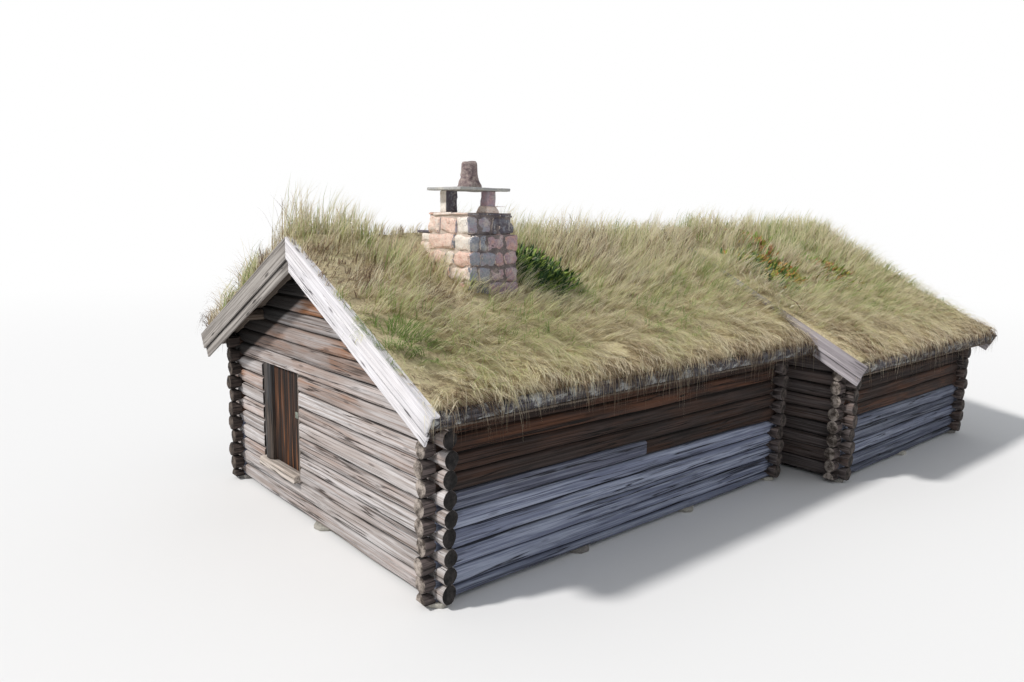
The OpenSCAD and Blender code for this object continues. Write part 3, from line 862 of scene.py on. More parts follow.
def log_wall(node, along_y, material, slot, browns=None, tones=None, stride=0.16, dim=0.0):
    """One wall of logs: a copy of its node, cut into short lengths and worn by weather; the courses
    of a wall along Y lie half a course lower than those of the others"""
    piece = copy_node(node, node + "_logs")
    low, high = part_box(node)
    long_axis, thin_axis = (Y, X) if along_y else (X, Y)
    ends = (low[long_axis], high[long_axis])
    start = -0.5 if along_y else 0.0
    with editing(piece, "FACE"):
        select_faces(piece, lambda centre, normal: abs(normal[long_axis]) > 0.95 and any(
            abs(centre[long_axis] - end) < 0.05 for end in ends
        ))
        bpy.ops.mesh.bevel(offset=0.014, segments=2, affect="EDGES")
    slice_across(piece, long_axis, steps(*ends, stride))
    outward = -1 if abs(low[thin_axis]) > abs(high[thin_axis]) else 1
    first = math.floor((low.z - STONE_TOP) / COURSE)
    last = math.ceil((high.z - STONE_TOP) / COURSE)
    heights = [
        STONE_TOP + COURSE * (k + start + part)
        for k in range(first - 1, last + 1) for part in (0.3, 0.5, 0.7)
    ]
    slice_across(piece, Z, heights, lambda centre, normal: normal[thin_axis] * outward > 0.7)
    rng = random.Random(node)
    tones = tones or [rng.random() - dim for _ in range(COURSES)]
    browns = browns or [0.05 + 0.4 * rng.random() for _ in range(COURSES)]
    near_side = node == "right_wall"
    end_tone = RIGHT_END_TONE if low.x > 0 else LEFT_END_TONE

    def course_of(centre):
        return max(0, int((centre.z - STONE_TOP) / COURSE - start))

    def at_end(centre):
        return along_y and not low.y + OUT < centre.y < high.y - OUT

    def coolness(centre, normal):
        if at_end(centre):
            return 0.0
        if near_side and centre.y < SCARF_Y and COOL_TOP < centre.z < COOL_TOP + COURSE:
            return SCARF_COOLNESS
        return 1.0 if centre.z < COOL_TOP else 0.0

    # Painted shade: 1 on the edge between two courses, falling to 0 within the reach
    def seam(spot):
        share = (spot.z - STONE_TOP) / COURSE - start
        edge = abs(share - round(share)) * COURSE
        return max(0.0, 1.0 - edge / SEAM_SHADE_REACH)

    def tone(centre, normal):
        return tones[course_of(centre)] + (end_tone if at_end(centre) else 0.0)

    def brown(centre, normal):
        return 0.0 if at_end(centre) else browns[course_of(centre)]

    store(piece, "tone", tone)
    store(piece, "brown", brown)
    store(piece, "cool", coolness)
    store(piece, "end", lambda centre, normal: 1.0 if abs(normal[long_axis]) > 0.8 else 0.0)
    store_points(piece, seam=seam)
    warp_group(piece)
    wander = (2, 6, 1) if along_y else (6, 2, 1)
    roughen(piece, 0.05, 0.35, wander, direction="Z", group="loose")
    roughen(piece, 0.026, 0.16, stretch_along(long_axis, 7))
    lay_grain(piece, long_axis)
    smooth(piece)
    dress(piece, material, "house", slot, node)


def build_walls():
    cool = ("9ca3b6", "6d7389", "202027")
    # The gable's log ends are near black, partly painted shade
    gable = wood_finish(
        "gable logs", "cbc8c8", "a39b97", "413732", "a06c45", cracks=0.6, knots=0.5, contrast=0.75,
        ends=("34302f", "0f0d0d"), log=True, shadow_under_verge=True,
    )
    # The side logs above the cool ones are near black, partly painted shade of the eave
    side = wood_finish(
        "side logs", "302a29", "191615", "080606", "8f5a3a", cracks=0.6, knots=0.3, contrast=0.8,
        cool=cool, ends=("aca198", "3d352f"), log=True,
    )
    shaded = wood_finish(
        "far side logs", "463c38", "2a2422", "0f0c0b", "8a5e44", cracks=0.6, knots=0.3, contrast=0.8,
        cool=cool, ends=("5f544c", "1d1815"), log=True,
    )
    rear = wood_finish(
        "rear gable logs", "77706f", "4c4645", "151211", "7a5b48", cracks=0.5, contrast=0.7,
        ends=("5a514c", "191513"), log=True,
    )
    for node in ("front_wall_base", "front_wall_left", "front_wall_right", "front_gable"):
        browns = LEFT_BROWN + GABLE_BROWN[9:] if node == "front_wall_left" else GABLE_BROWN
        log_wall(node, False, gable, "gable_logs", browns, GABLE_TONE)
    for node in ("back_wall", "rear_front_wall", "rear_back_wall"):
        log_wall(node, False, rear, "gable_logs", stride=0.42)
    log_wall("right_wall", True, side, "side_logs")
    log_wall("rear_right_wall", True, side, "side_logs", dim=0.8)
    for node in ("left_wall", "rear_left_wall"):
        log_wall(node, True, shaded, "side_logs")


# Turf and grass

# Places on the roofs, as distance from the ridge line, distance along it and radius
MOSSY = (
    (0.75, -6.3, 0.55), (1.9, -6.6, 0.3), (3.4, 1.45, 0.5), (2.7, -6.5, 0.25), (1.5, -5.3, 0.35),
)
FRESH = (
    (2.1, -6.4, 0.4), (2.8, -2.6, 0.6), (2.9, -5.5, 0.5), (2.4, 3.4, 0.6), (1.0, -5.6, 0.5),
    (2.3, -4.6, 0.7),
)
LEAFY = ((1.0, -3.3, 0.7), (1.5, 2.1, 0.8), (1.7, 3.9, 0.7), (0.6, 2.9, 0.6))
SHORT = ((0.3, -5.0, 0.6), (0.1, -4.5, 0.5))
BARE_VERGE = ((0.1, 1.1, 0.3), (0.8, 1.2, 0.45))
ROUND_TUFT = (2.1, -6.4, 0.45)

# Tufts on a square metre
NEAR_TUFTS = 74.0
FAR_TUFTS = 50.0
FRINGE_TUFTS = 170.0
LEAF_TUFTS = 45.0

# Shares by which blades past an eave are drawn in and lowered, the same past the rear gable, and
# by which they are drawn in at the front gable and at the rear roof's front
EAVE_IN, EAVE_DOWN = 0.8, 0.7
REAR_IN, REAR_DOWN = 0.6, 0.5
FRONT_IN = 0.8
JOIN_IN = 0.85

# The size of the squares that the turf is cut into
SOD = 0.12


class Roof:
    """One roof: the turf nodes on it and the plane of their top"""

    def __init__(self, name, slope):
        low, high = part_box(name + "_turf_right")
        self.name = name
        self.slope = slope
        self.ridge = high.z
        self.half = high.x
        self.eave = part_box(name + "_eave_logs")[1].x
        self.start = low.y
        self.end = high.y

    def height(self, x):
        return self.ridge - math.tan(self.slope) * abs(x)


FRONT = Roof("front", FRONT_SLOPE)
REAR = Roof("rear", REAR_SLOPE)
JOIN_Y = REAR.start


def nearness(x, y, spots):
    """1 at the middle of a spot, falling to 0 at its edge"""
    best = 0.0
    for spot_x, spot_y, radius in spots:
        away = math.hypot(abs(x) - spot_x, y - spot_y) / radius
        best = max(best, 1.0 - away * away)
    return best


def ramp(value, low, high):
    """0 below a range, 1 above it and in between inside it"""
    return min(1.0, max(0.0, (value - low) / (high - low)))


def growth(roof, x, y):
    """What grows at a place: density, height, first lean, droop, dryness and the way it is combed"""
    side = 1 if x > 0 else -1
    down = abs(x) / roof.half
    patch = field.noise(Vector((x * 0.8, y * 0.8, 3.0)))
    clump = field.noise(Vector((x * 2.6, y * 2.6, 7.0)))
    moss = nearness(x, y, MOSSY)
    fresh = nearness(x, y, FRESH)
    leafy = nearness(x, y, LEAFY)
    bare = nearness(x, y, BARE_VERGE)
    short = nearness(x, y, SHORT)
    middle = ramp(down, 0.15, 0.5)
    low = ramp(down, 0.45, 0.85)
    edge = ramp(down, 0.8, 1.0)
    verge = ramp(y, roof.start, roof.start + 0.45) if roof is FRONT and x > 0 else 1.0
    end = ramp(roof.end - y, 0.0, 0.7) if roof is REAR else 1.0
    tall = 0.43 + 0.12 * patch + 0.07 * clump + 0.05 * low
    tall *= (0.5 + 0.5 * verge) * (0.85 + 0.15 * end)
    tall *= (1 - 0.72 * moss) * (1 - 0.65 * leafy) * (1 - 0.75 * bare) * (1 - 0.65 * short)
    lean = math.radians(9 + 22 * middle + 30 * low + 32 * edge + 10 * patch)
    droop = math.radians(30 + 18 * middle + 14 * low + 22 * clump)
    dry = 0.55 + 0.34 * patch + 0.16 * clump - 0.17 * fresh + 0.05 * low
    dry += 0.66 * moss + 0.3 * short + 0.34 * edge
    joint = 1 - ramp(abs(y - JOIN_Y), 0.1, 0.6)
    turn = math.radians(78 - 20 * middle - 22 * low - 22 * edge + 22 * patch) * (0.2 + 0.8 * end)
    if roof is REAR:
        turn -= joint * math.radians(110) * (1 - ramp(abs(x), 2.2, 2.9))
    elif x < 0:
        stand = 1 - ramp(y - roof.start, 0.5, 1.5)
        tall *= 1 + 0.45 * stand
        lean *= 1 - 0.75 * stand
    comb = Vector((side * math.cos(turn), math.sin(turn), 0))
    near = nearness(x, y, (ROUND_TUFT,)) if x > 0 else 0.0
    if near > 0:
        comb = Vector((x - ROUND_TUFT[0], y - ROUND_TUFT[1], 0)).normalized()
        lean, droop, dry, tall = math.radians(25 + 40 * (1 - near)), math.radians(60), 0.02, 0.34
    thick = (1 - 0.5 * leafy) * (1 - 0.45 * bare) * (1 + 0.3 * clump) * (1 + 0.4 * edge)
    if roof is FRONT and x < 0 and y < roof.start + 1.2:
        thick *= 2.2
    return thick, max(0.06, tall), lean, max(0.2, droop), min(1.0, max(0.0, dry)), comb


def build_sod(roof, side, material):
    """The turf itself, mounded and worn"""
    node = f"{roof.name}_turf_{side}"
    piece = copy_node(node, node + "_sod")
    low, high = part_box(node)

    def not_under(centre, normal):
        return normal.z > -0.5

    for axis in (X, Y):
        slice_across(piece, axis, steps(low[axis], high[axis], SOD), not_under)
    soft = piece.vertex_groups.new(name="soft")
    for vertex in piece.data.vertices:
        x, y, z = vertex.co
        depth = roof.height(x) - z
        weight = max(0.0, 1 - depth / 0.08) * min(1.0, (y - low.y) / 0.3)
        soft.add([vertex.index], weight, "REPLACE")
    roughen(piece, 0.16, 0.6, direction="Z", group="soft", middle=0.38)
    roughen(piece, 0.05, 0.12, direction="Z", group="soft")
    smooth(piece, 70)
    dress(piece, material, "house", "turf", node)
    return piece


def grass_blade(width, cuts=(0.36, 0.72)):
    """One upright blade, a metre tall, that narrows to its tip"""
    bpy.ops.object.select_all(action="DESELECT")
    bpy.ops.mesh.primitive_plane_add(size=1, location=(0, 0, 0.5), rotation=(math.pi / 2, 0, 0))
    blade = bpy.context.object
    bpy.ops.object.transform_apply(location=True, rotation=True, scale=True)
    slice_across(blade, Z, cuts)
    with editing(blade, "EDGE"):
        bpy.ops.mesh.select_all(action="SELECT")
        bpy.ops.transform.resize(value=(width, 1, 1))
        select_edges(blade, lambda a, b: a.z > 0.99 and b.z > 0.99)
        bpy.ops.mesh.merge(type="CENTER")
        select_edges(blade, lambda a, b: abs(a.z - cuts[-1]) < 0.01 and abs(b.z - cuts[-1]) < 0.01)
        bpy.ops.transform.resize(value=(0.75, 1, 1))
    return blade


def tuft(name, pattern, count, radius, shortest, longest, rng):
    """A tuft of copies of one blade or leaf, turned and lengthened at random"""
    parts = []
    for _ in range(count):
        part = copy_mesh(pattern, name)
        reach = rng.uniform(shortest, longest)
        store_points(part, along=lambda spot: spot.z, reach=reach, sway=rng.random())
        angle = rng.uniform(0, 2 * math.pi)
        away = radius * math.sqrt(rng.random())
        shift = Matrix.Translation((away * math.cos(angle), away * math.sin(angle), 0))
        turn = Matrix.Rotation(rng.uniform(0, math.pi), 4, "Z")
        part.data.transform(shift @ turn @ Matrix.Diagonal((1, 1, reach, 1)))
        parts.append(part)
    made = join(name, parts)
    made.hide_render = True
    return made


def grass_tree(name, tufts, per_square, seed):
    """Nodes that scatter tufts on the turf, make them real, and bend each blade along an arc"""
    tree = bpy.data.node_groups.new(name, "GeometryNodeTree")
    tree.interface.new_socket("Turf", in_out="INPUT", socket_type="NodeSocketGeometry")
    tree.interface.new_socket("Grass", in_out="OUTPUT", socket_type="NodeSocketGeometry")
    inside = add(tree, "NodeGroupInput").outputs

    def stored(label, kind="FLOAT"):
        made = add(tree, "GeometryNodeInputNamedAttribute", {"Name": label}, data_type=kind)
        return made.outputs["Attribute"]

    def chance(low, high, salt):
        made = add(tree, "FunctionNodeRandomValue", {
            2: low, 3: high, "Seed": seed + salt,
        }, data_type="FLOAT")
        return made.outputs[1]

    facing = add(tree, "GeometryNodeInputNormal").outputs[0]
    upward = add(tree, "ShaderNodeSeparateXYZ", {0: facing}).outputs[Z]
    up = add(tree, "FunctionNodeCompare", {0: upward, 1: 0.5}, operation="GREATER_THAN").outputs[0]
    density = calc(tree, "MULTIPLY", stored("thick"), per_square)
    spots = add(tree, "GeometryNodeDistributePointsOnFaces", {
        "Mesh": inside[0], "Selection": up, "Density": density, "Seed": seed,
    }).outputs["Points"]
    kinds = add(tree, "GeometryNodeJoinGeometry")
    for piece in tufts:
        got = add(tree, "GeometryNodeObjectInfo", {"Object": piece, "As Instance": True})
        tree.links.new(got.outputs["Geometry"], kinds.inputs[0])
    yaw = add(tree, "ShaderNodeCombineXYZ", {2: chance(0.0, 2 * math.pi, 1)}).outputs[0]
    size = add(tree, "ShaderNodeCombineXYZ", {0: 1.0, 1: 1.0, 2: stored("tall")}).outputs[0]
    kind = add(tree, "FunctionNodeRandomValue", {
        4: 0, 5: len(tufts) - 1, "Seed": seed + 2,
    }, data_type="INT").outputs[2]
    placed = add(tree, "GeometryNodeInstanceOnPoints", {
        "Points": spots, "Instance": kinds.outputs[0], "Pick Instance": True,
        "Instance Index": kind, "Rotation": yaw, "Scale": size,
    }).outputs[0]
    marked = add(tree, "GeometryNodeStoreNamedAttribute", {
        "Geometry": placed, "Name": "hue", "Value": chance(0.0, 1.0, 3),
    }, data_type="FLOAT", domain="INSTANCE").outputs[0]
    real = add(tree, "GeometryNodeRealizeInstances", {"Geometry": marked}).outputs[0]

    along, sway, reach = stored("along"), stored("sway"), stored("reach")
    length = calc(tree, "MULTIPLY", stored("tall"), reach)
    first = calc(tree, "MULTIPLY_ADD", calc(tree, "SUBTRACT", sway, 0.5), 0.75, stored("lean"))
    droop = calc(tree, "MULTIPLY", stored("droop"), calc(tree, "MULTIPLY_ADD", reach, 0.8, 0.4))
    last = calc(tree, "MULTIPLY_ADD", droop, along, first)
    radius = calc(tree, "DIVIDE", length, droop)
    out = calc(tree, "SUBTRACT", calc(tree, "COSINE", first), calc(tree, "COSINE", last))
    rise = calc(tree, "SUBTRACT", calc(tree, "SINE", last), calc(tree, "SINE", first))
    raised = calc(tree, "MULTIPLY", rise, radius)
    sink = calc(tree, "SUBTRACT", raised, calc(tree, "MULTIPLY", length, along))
    by_sway = calc(tree, "SUBTRACT", sway, 0.5)
    by_hue = calc(tree, "SUBTRACT", stored("hue"), 0.5)
    swing = weighed(tree, by_sway, 1.5, by_hue, 2.2)
    heading = add(tree, "ShaderNodeVectorRotate", {
        "Vector": stored("comb", "FLOAT_VECTOR"), "Angle": swing,
    }, rotation_type="Z_AXIS").outputs[0]
    reached = calc(tree, "MULTIPLY", out, radius)
    push = add(tree, "ShaderNodeVectorMath", {0: heading, 3: reached}, operation="SCALE").outputs[0]
    drop = add(tree, "ShaderNodeCombineXYZ", {2: sink}).outputs[0]
    offset = add(tree, "ShaderNodeVectorMath", {0: push, 1: drop}).outputs[0]
    bent = add(tree, "GeometryNodeSetPosition", {"Geometry": real, "Offset": offset}).outputs[0]
    add(tree, "NodeGroupOutput", {0: bent})
    return tree


def fold_over(piece, roof):
    """Lets what reaches past an eave fall straighter, and draws in what leans past a gable"""
    spots = numpy.empty(len(piece.data.vertices) * 3)
    piece.data.vertices.foreach_get("co", spots)
    spots = spots.reshape(-1, 3)
    past = numpy.maximum(0, numpy.abs(spots[:, X]) - roof.eave - 0.015)
    spots[:, X] -= numpy.sign(spots[:, X]) * past * EAVE_IN
    spots[:, Z] -= past * EAVE_DOWN
    if roof is FRONT:
        spots[:, Y] += numpy.maximum(0, roof.start - 0.01 - spots[:, Y]) * FRONT_IN
    else:
        past = numpy.maximum(0, spots[:, Y] - roof.end - 0.03)
        spots[:, Y] -= past * REAR_IN
        spots[:, Z] -= past * REAR_DOWN
        seen = numpy.abs(spots[:, X]) > FRONT.half - 0.35
        spots[:, Y] += numpy.maximum(0, roof.start + 0.02 - spots[:, Y]) * seen * JOIN_IN
    piece.data.vertices.foreach_set("co", spots.ravel())


def grow(roof, sod, name, tree, material, change=None):
    """Grass on a piece of turf: its own piece, made by the nodes"""
    piece = copy_mesh(sod, name)
    spots = [growth(roof, face.center.x, face.center.y) for face in piece.data.polygons]
    if change:
        spots = [change(face.center, spot) for face, spot in zip(piece.data.polygons, spots)]
    for place, label in enumerate(("thick", "tall", "lean", "droop", "dry")):
        attribute = piece.data.attributes.new(label, "FLOAT", "FACE")
        attribute.data.foreach_set("value", [spot[place] for spot in spots])
    attribute = piece.data.attributes.new("comb", "FLOAT_VECTOR", "FACE")
    attribute.data.foreach_set("vector", [part for spot in spots for part in spot[5]])
    apply_modifier(piece, "NODES", node_group=tree)
    fold_over(piece, roof)
    for label in ("thick", "tall", "lean", "droop", "comb", "reach"):
        if label in piece.data.attributes:
            piece.data.attributes.remove(piece.data.attributes[label])
    dress(piece, material, "house", "turf")


def leafy_spot(centre, spot):
    """Only the leafy places, with low leaves"""
    leafy = nearness(centre.x, centre.y, LEAFY)
    red = 0.15 + 0.7 * min(1.0, max(0.0, centre.y / 3))
    return leafy * 2.6, 0.15 + 0.06 * leafy, spot[2], spot[3], red, spot[5]


def between(roof, top, foot):
    """Only the grass between two distances down the slope, as shares of it"""

    def change(centre, spot):
        inside = top <= abs(centre.x) / roof.half < foot
        return (spot[0] if inside else 0.0,) + spot[1:]

    return change


def hanging(roof):
    """Only the roof's edge, with long strands that hang over the eave log"""
    edge = roof.half - 0.2
    longest = 0.42 if roof is FRONT else 0.34

    def change(centre, spot):
        ragged = field.noise(Vector((0.0, centre.y * 2.2, 5.0)))
        side = 1 if centre.x > 0 else -1
        comb = Vector((side * 0.94, 0.34, 0)) if roof.end - centre.y > 0.5 else Vector((side, 0, 0))
        thick = 1.3 + 0.9 * ragged if abs(centre.x) > edge else 0.0
        dry = 0.97 + 0.3 * ragged
        return thick, longest * (1 + 0.5 * ragged), math.radians(104), math.radians(58), dry, comb

    return change


def build_roofs():
    rng = random.Random(11)
    soil = soil_finish()
    grass = grass_finish()
    leaves = leaf_finish()
    wide = grass_blade(0.009)
    thin = grass_blade(0.006)
    limp = grass_blade(0.0065, (0.25, 0.5, 0.75))
    leaf = grass_blade(0.04)
    tufts = [tuft(f"tuft_{i}", wide, 11, 0.06, 0.45, 1.1, rng) for i in range(3)]
    tufts.append(tuft("tuft_tall", thin, 9, 0.07, 0.8, 1.5, rng))
    limp_tufts = [tuft(f"tuft_limp_{i}", limp, 7, 0.07, 0.35, 1.25, rng) for i in range(3)]
    leafy = [tuft("tuft_leafy", leaf, 8, 0.09, 0.35, 1.0, rng)]
    for pattern in (wide, thin, limp, leaf):
        bpy.data.objects.remove(pattern)
    near = grass_tree("near grass", tufts, NEAR_TUFTS, 1)
    far = grass_tree("far grass", tufts, FAR_TUFTS, 5)
    fringe = grass_tree("hanging grass", limp_tufts, FRINGE_TUFTS, 13)
    low = grass_tree("low leaves", leafy, LEAF_TUFTS, 9)
    for roof in (FRONT, REAR):
        for side in ("right", "left"):
            name = f"{roof.name}_{side}"
            sod = build_sod(roof, side, soil)
            if side == "right":
                grow(roof, sod, f"{name}_grass_upper", near, grass, between(roof, 0.0, 0.5))
                grow(roof, sod, f"{name}_grass_lower", near, grass, between(roof, 0.5, 1.1))
            else:
                grow(roof, sod, f"{name}_grass", far, grass)
            grow(roof, sod, f"{name}_fringe", fringe, grass, hanging(roof))
            grow(roof, sod, f"{name}_leaves", low, leaves, leafy_spot)
    for piece in tufts + limp_tufts + leafy:
        bpy.data.objects.remove(piece)


# Roof wood: bargeboards, cap boards, eave logs and the boards under the turf

# How deep the upper bargeboard is, across the slope, and how wide a board under the turf is
UPPER_BOARD = 0.212
ROOF_BOARD = 0.16


def down_slope(slope):
    """The way down the slope at a place, on either side of the ridge"""
    right = Vector((math.cos(slope), 0, -math.sin(slope)))
    left = Vector((math.cos(slope), 0, math.sin(slope)))
    return lambda spot: right if spot.x > 0 else left


def dress_boards(node, slope, material, wear=0.007, step=0.25):
    """Boards that run down the slope: a copy of their node, cut into lengths and worn"""
    piece = copy_node(node, node + "_worn")
    low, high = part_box(node)
    bevel_edges(piece, 0.004, 1, level_in(Y))
    slice_across(piece, X, steps(low.x, high.x, step))
    store(piece, "tone", lambda centre, normal: 0.75 if centre.x > 0 else 0.35)
    store(piece, "cool", lambda centre, normal: 0.0 if centre.x > 0 else 1.0)
    inward = 1 if low.y < 0 or node.startswith("middle") else -1
    outer = low.y if inward > 0 else high.y

    def behind(spot):
        """1 on the lower board, where it comes out from behind the upper one and gets its painted
        shadow
        """
        depth = (high.z - math.tan(slope) * abs(spot.x) - spot.z) * math.cos(slope)
        set_back = (spot.y - outer) * inward > 0.02
        return 1.0 if set_back and abs(depth - UPPER_BOARD) < 0.03 else 0.0

    store_points(piece, seam=behind)
    roughen(piece, wear, 0.09, (5, 1, 3))
    lay_grain(piece, down_slope(slope))
    smooth(piece, 35)
    dress(piece, material, "house", "bargeboard", node)


def plank_tones(node, axis, width):
    """Tones that differ from one plank of a node to the next"""
    low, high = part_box(node)
    length = high[axis] - low[axis]
    width = length / max(1, round(length / width))
    return lambda centre, normal: (int((centre[axis] - low[axis]) / width) * 0.37) % 1.0


def build_roof_wood():
    barge = wood_finish(
        "front bargeboards", "e2e0e3", "cac8cc", "555053", "b09a84", 0.12, 0.25, 0.8, 0.25,
        cool=("aea8a2", "7f7974", "332f2c"), gap=True,
    )
    verge = wood_finish(
        "rear bargeboards", "b9b3b6", "918b8f", "353133", "7a6a5c", 0.1, 0.4, 0.5, 0.4, gap=True,
    )
    under = wood_finish("roof boards", "6e655c", "4f4740", "211c19", "6f533c", 0.2, 0.3)
    eave = wood_finish(
        "eave logs", "55545a", "322f33", "0e0d0f", "5f4c3c", 0.15, 0.5, 0.2, 0.7, lichen=0.55,
    )
    dress_boards("front_bargeboards", FRONT_SLOPE, barge)
    dress_boards("front_cap_boards", FRONT_SLOPE, barge, 0.01, 0.3)
    dress_boards("middle_bargeboards", REAR_SLOPE, verge)
    dress_boards("back_bargeboards", REAR_SLOPE, verge)
    for node in ("front_eave_logs", "rear_eave_logs"):
        timber(node, Y, 0.16, 0.5, Y, eave, wear=0.035)
    for roof in (FRONT, REAR):
        for side in ("left", "right"):
            node = f"{roof.name}_boards_{side}"
            tones = plank_tones(node, Y, ROOF_BOARD)
            timber(node, Y, ROOF_BOARD, tones, down_slope(roof.slope), under, rounded=False)
        timber(f"{roof.name}_purlins", Y, 0.4, 0.6, Y, under)


# The door and its frame

# The leaf's boards, and half the gap between two of them
LEAF_BOARDS = 4
LEAF_GAP = 0.0015


def hewn(node, axis, step, edge, wear, material, slot, tone=0.5):
    """A timber of the door's frame: a copy of its node, cut into short lengths and worn"""
    piece = copy_node(node, node + "_hewn")
    low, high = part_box(node)
    bevel_edges(piece, edge, 2, level_in(axis))
    slice_across(piece, axis, steps(low[axis], high[axis], step))
    roughen(piece, wear, 0.09, stretch_along(axis, 6))
    store(piece, "tone", tone)
    lay_grain(piece, axis)
    smooth(piece)
    dress(piece, material, "house", slot, node)


def leaf_wood_finish():
    """The door's boards: rusty brown streaks, and a painted shadow of the lintel, nearly black towards
    the top
    """
    material, tree, shader, place = new_material("door boards")
    run = along_grain(tree)
    wood = place_group(
        tree, GRAIN, Vector=run, Pale=paint("554238"), Middle=paint("2e231d"), Dark=paint("0c0807"),
        Warm=paint("74492e"), Tone=number(tree, "tone"), Warmth=0.8, Cracks=0.6, Knots=0.3,
        Contrast=0.9,
    )
    low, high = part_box("door_leaf")
    height = add(tree, "ShaderNodeSeparateXYZ", {0: place}).outputs[Z]
    rust = fibres(tree, run, 0.7, 26, 3.0, 0.6)
    damp = fibres(tree, run, 0.5, 13, 3.0, 0.6, offset=(5, 2, 8))
    colour = blend(tree, band(tree, rust, 0.48, 0.6, 0.0, 0.85), wood["Color"], paint("9c6034"))
    colour = blend(tree, band(tree, damp, 0.56, 0.45, 0.0, 0.9), colour, paint("120e0c"))
    # Painted shadow: the lintel's shadow, darkening the leaf towards its top
    shade = calc(tree, "MULTIPLY", band(tree, height, low.z + 0.6, high.z - 0.1), 0.75)
    colour = blend(tree, shade, colour, paint("1a1513"))
    finish_material(tree, shader, colour, wood["Height"], 0.012, wood["Roughness"])
    return material


def build_door():
    rng = random.Random(4)
    post_wood = wood_finish("door post", "4f5458", "292c30", "101113", "9a7a5c", 0.2, 0.7, 0.4, 0.6)
    jamb_wood = wood_finish("door jamb", "8b8782", "5f5a55", "211d1a", "8a6f57", 0.2, 0.5, 0.3, 0.5)
    sill_wood = wood_finish("door sill", "cbc2ba", "a39a92", "463d37", "a58a70", 0.15, 0.6, 0.3, 0.6)
    low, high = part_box("door_leaf")
    boards = []
    for k in range(LEAF_BOARDS):
        left = low.x + (high.x - low.x) * (k / LEAF_BOARDS) + LEAF_GAP
        right = low.x + (high.x - low.x) * ((k + 1) / LEAF_BOARDS) - LEAF_GAP
        boards.append(board((left, low.y, low.z), (right, high.y, high.z), Z, rng))
    dress(join("door_leaf_boards", boards), leaf_wood_finish(), "door", "door_wood", "door_leaf")
    hewn("door_post", Z, 0.1, 0.012, 0.02, post_wood, "post_wood")
    hewn("door_jamb", Z, 0.12, 0.006, 0.006, jamb_wood, "post_wood")
    hewn("door_sill", X, 0.08, 0.01, 0.02, sill_wood, "gable_logs", 0.7)
    rust = ((0.3, "2e2825"), (0.5, "56392a"), (0.7, "7a4a2c"))
    iron = metal_finish("rusted iron", 0.75, 0.4, 0.35, 40.0, *rust)
    for node in ("door_straps", "door_pintles"):
        dress_node(node, iron)
    grey = ((0.3, "4c514a"), (0.55, "868c80"), (0.8, "a8aca0"))
    latch_iron = metal_finish("worn grey latch", 0.6, 0.5, 0.5, 55.0, *grey)
    low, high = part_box("door_latch")
    latch = board(low, high, X, rng, 0.004, 0.001, 0.03)
    dress(join("door_latch_plate", [latch]), latch_iron, "door", "iron", "door_latch")


# The floor


def build_floor():
    rng = random.Random(6)
    material = wood_finish("floor boards", "9c8a76", "7a6a58", "3a3029", "7d5f45", 0.3, 0.3, 0.3)
    for node, rows, grain in (("floor_boards", 24, Y), ("floor_joists", 8, X)):
        low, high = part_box(node)
        width = (high.x - low.x) / rows
        tones = [rng.random() for _ in range(rows + 1)]

        def tone(centre, normal):
            return tones[int((centre.x - low.x) / width)]

        timber(node, X, width, tone, grain, material, "floor_wood", rounded=False)


# Stones


def build_foundation():
    stops = ((0.1, "7d7a76"), (0.5, "9d9a92"), (0.9, "c0bcb1"))
    material = stone_finish("foundation stones", "93958a", *stops)

    def tone(centre, normal):
        return 0.5 + 0.4 * math.sin(centre.x * 3 + round(centre.y))

    for node in ("foundation_front", "foundation_rear"):
        piece = copy_node(node, node + "_stones")
        bevel_edges(piece, 0.014)
        subdivide(piece, 2)
        roughen(piece, 0.03, 0.12)
        keep_above(piece, 0.0)
        store(piece, "tone", tone)
        smooth(piece, 40)
        dress(piece, material, "house", "foundation", node)


# Courses of the chimney from its top down: the height of each, then the stones of its front and of
# its near side as their shares of the face and their tones, from 0 cream over pink, purple and
# blue-grey to 1 black; the near side's darker, bluer tones are partly painted shade
CHIMNEY_COURSES = (
    (0.045, ((0.13, 0.35), (0.47, 0.12), (0.4, 0.2)), ((0.4, 0.9), (0.6, 0.95))),
    (0.235, ((0.3, 0.2), (0.42, 0.27), (0.28, 0.03)), ((0.65, 0.68), (0.35, 0.92))),
    (0.215, ((0.62, 0.25), (0.38, 0.06)), ((0.3, 0.78), (0.7, 0.5))),
    (0.2, ((0.42, 0.24), (0.2, 0.1), (0.38, 0.3)), ((0.6, 0.72), (0.4, 0.55))),
    (0.21, ((0.55, 0.28), (0.45, 0.15)), ((0.45, 0.74), (0.55, 0.58))),
    (0.2, ((0.3, 0.3), (0.4, 0.2), (0.3, 0.35)), ((0.34, 0.8), (0.66, 0.6))),
    (0.22, ((0.5, 0.3), (0.5, 0.2)), ((0.5, 0.7), (0.5, 0.8))),
)

# The joint round a stone, how deep the stones reach in, how far the courses above the shoulder
# stand back, and how thick the shoulder's ledge stone is
JOINT = 0.004
STONE_DEPTH = 0.2
STAND_BACK = 0.06
LEDGE = 0.032

# The lowest tone on a stone's near side, painted shade, and the tone of a dark stone's front face,
# painted sunlight
PAINTED_SHADE_TONE = 0.55
PAINTED_SUN_TONE = 0.12


def tone_of_side(tone, shaded_side_tone, centre, normal):
    """A stone's tone on one of its faces, with painted light: the front is painted sunny cream and
    pink, and the near side dark as in shade
    """
    # Painted shade on the near side, painted sunlight on the front
    if normal.x > 0.6:
        return shaded_side_tone or max(tone, PAINTED_SHADE_TONE)
    if normal.y < -0.6 and tone > 0.45:
        return PAINTED_SUN_TONE
    return tone


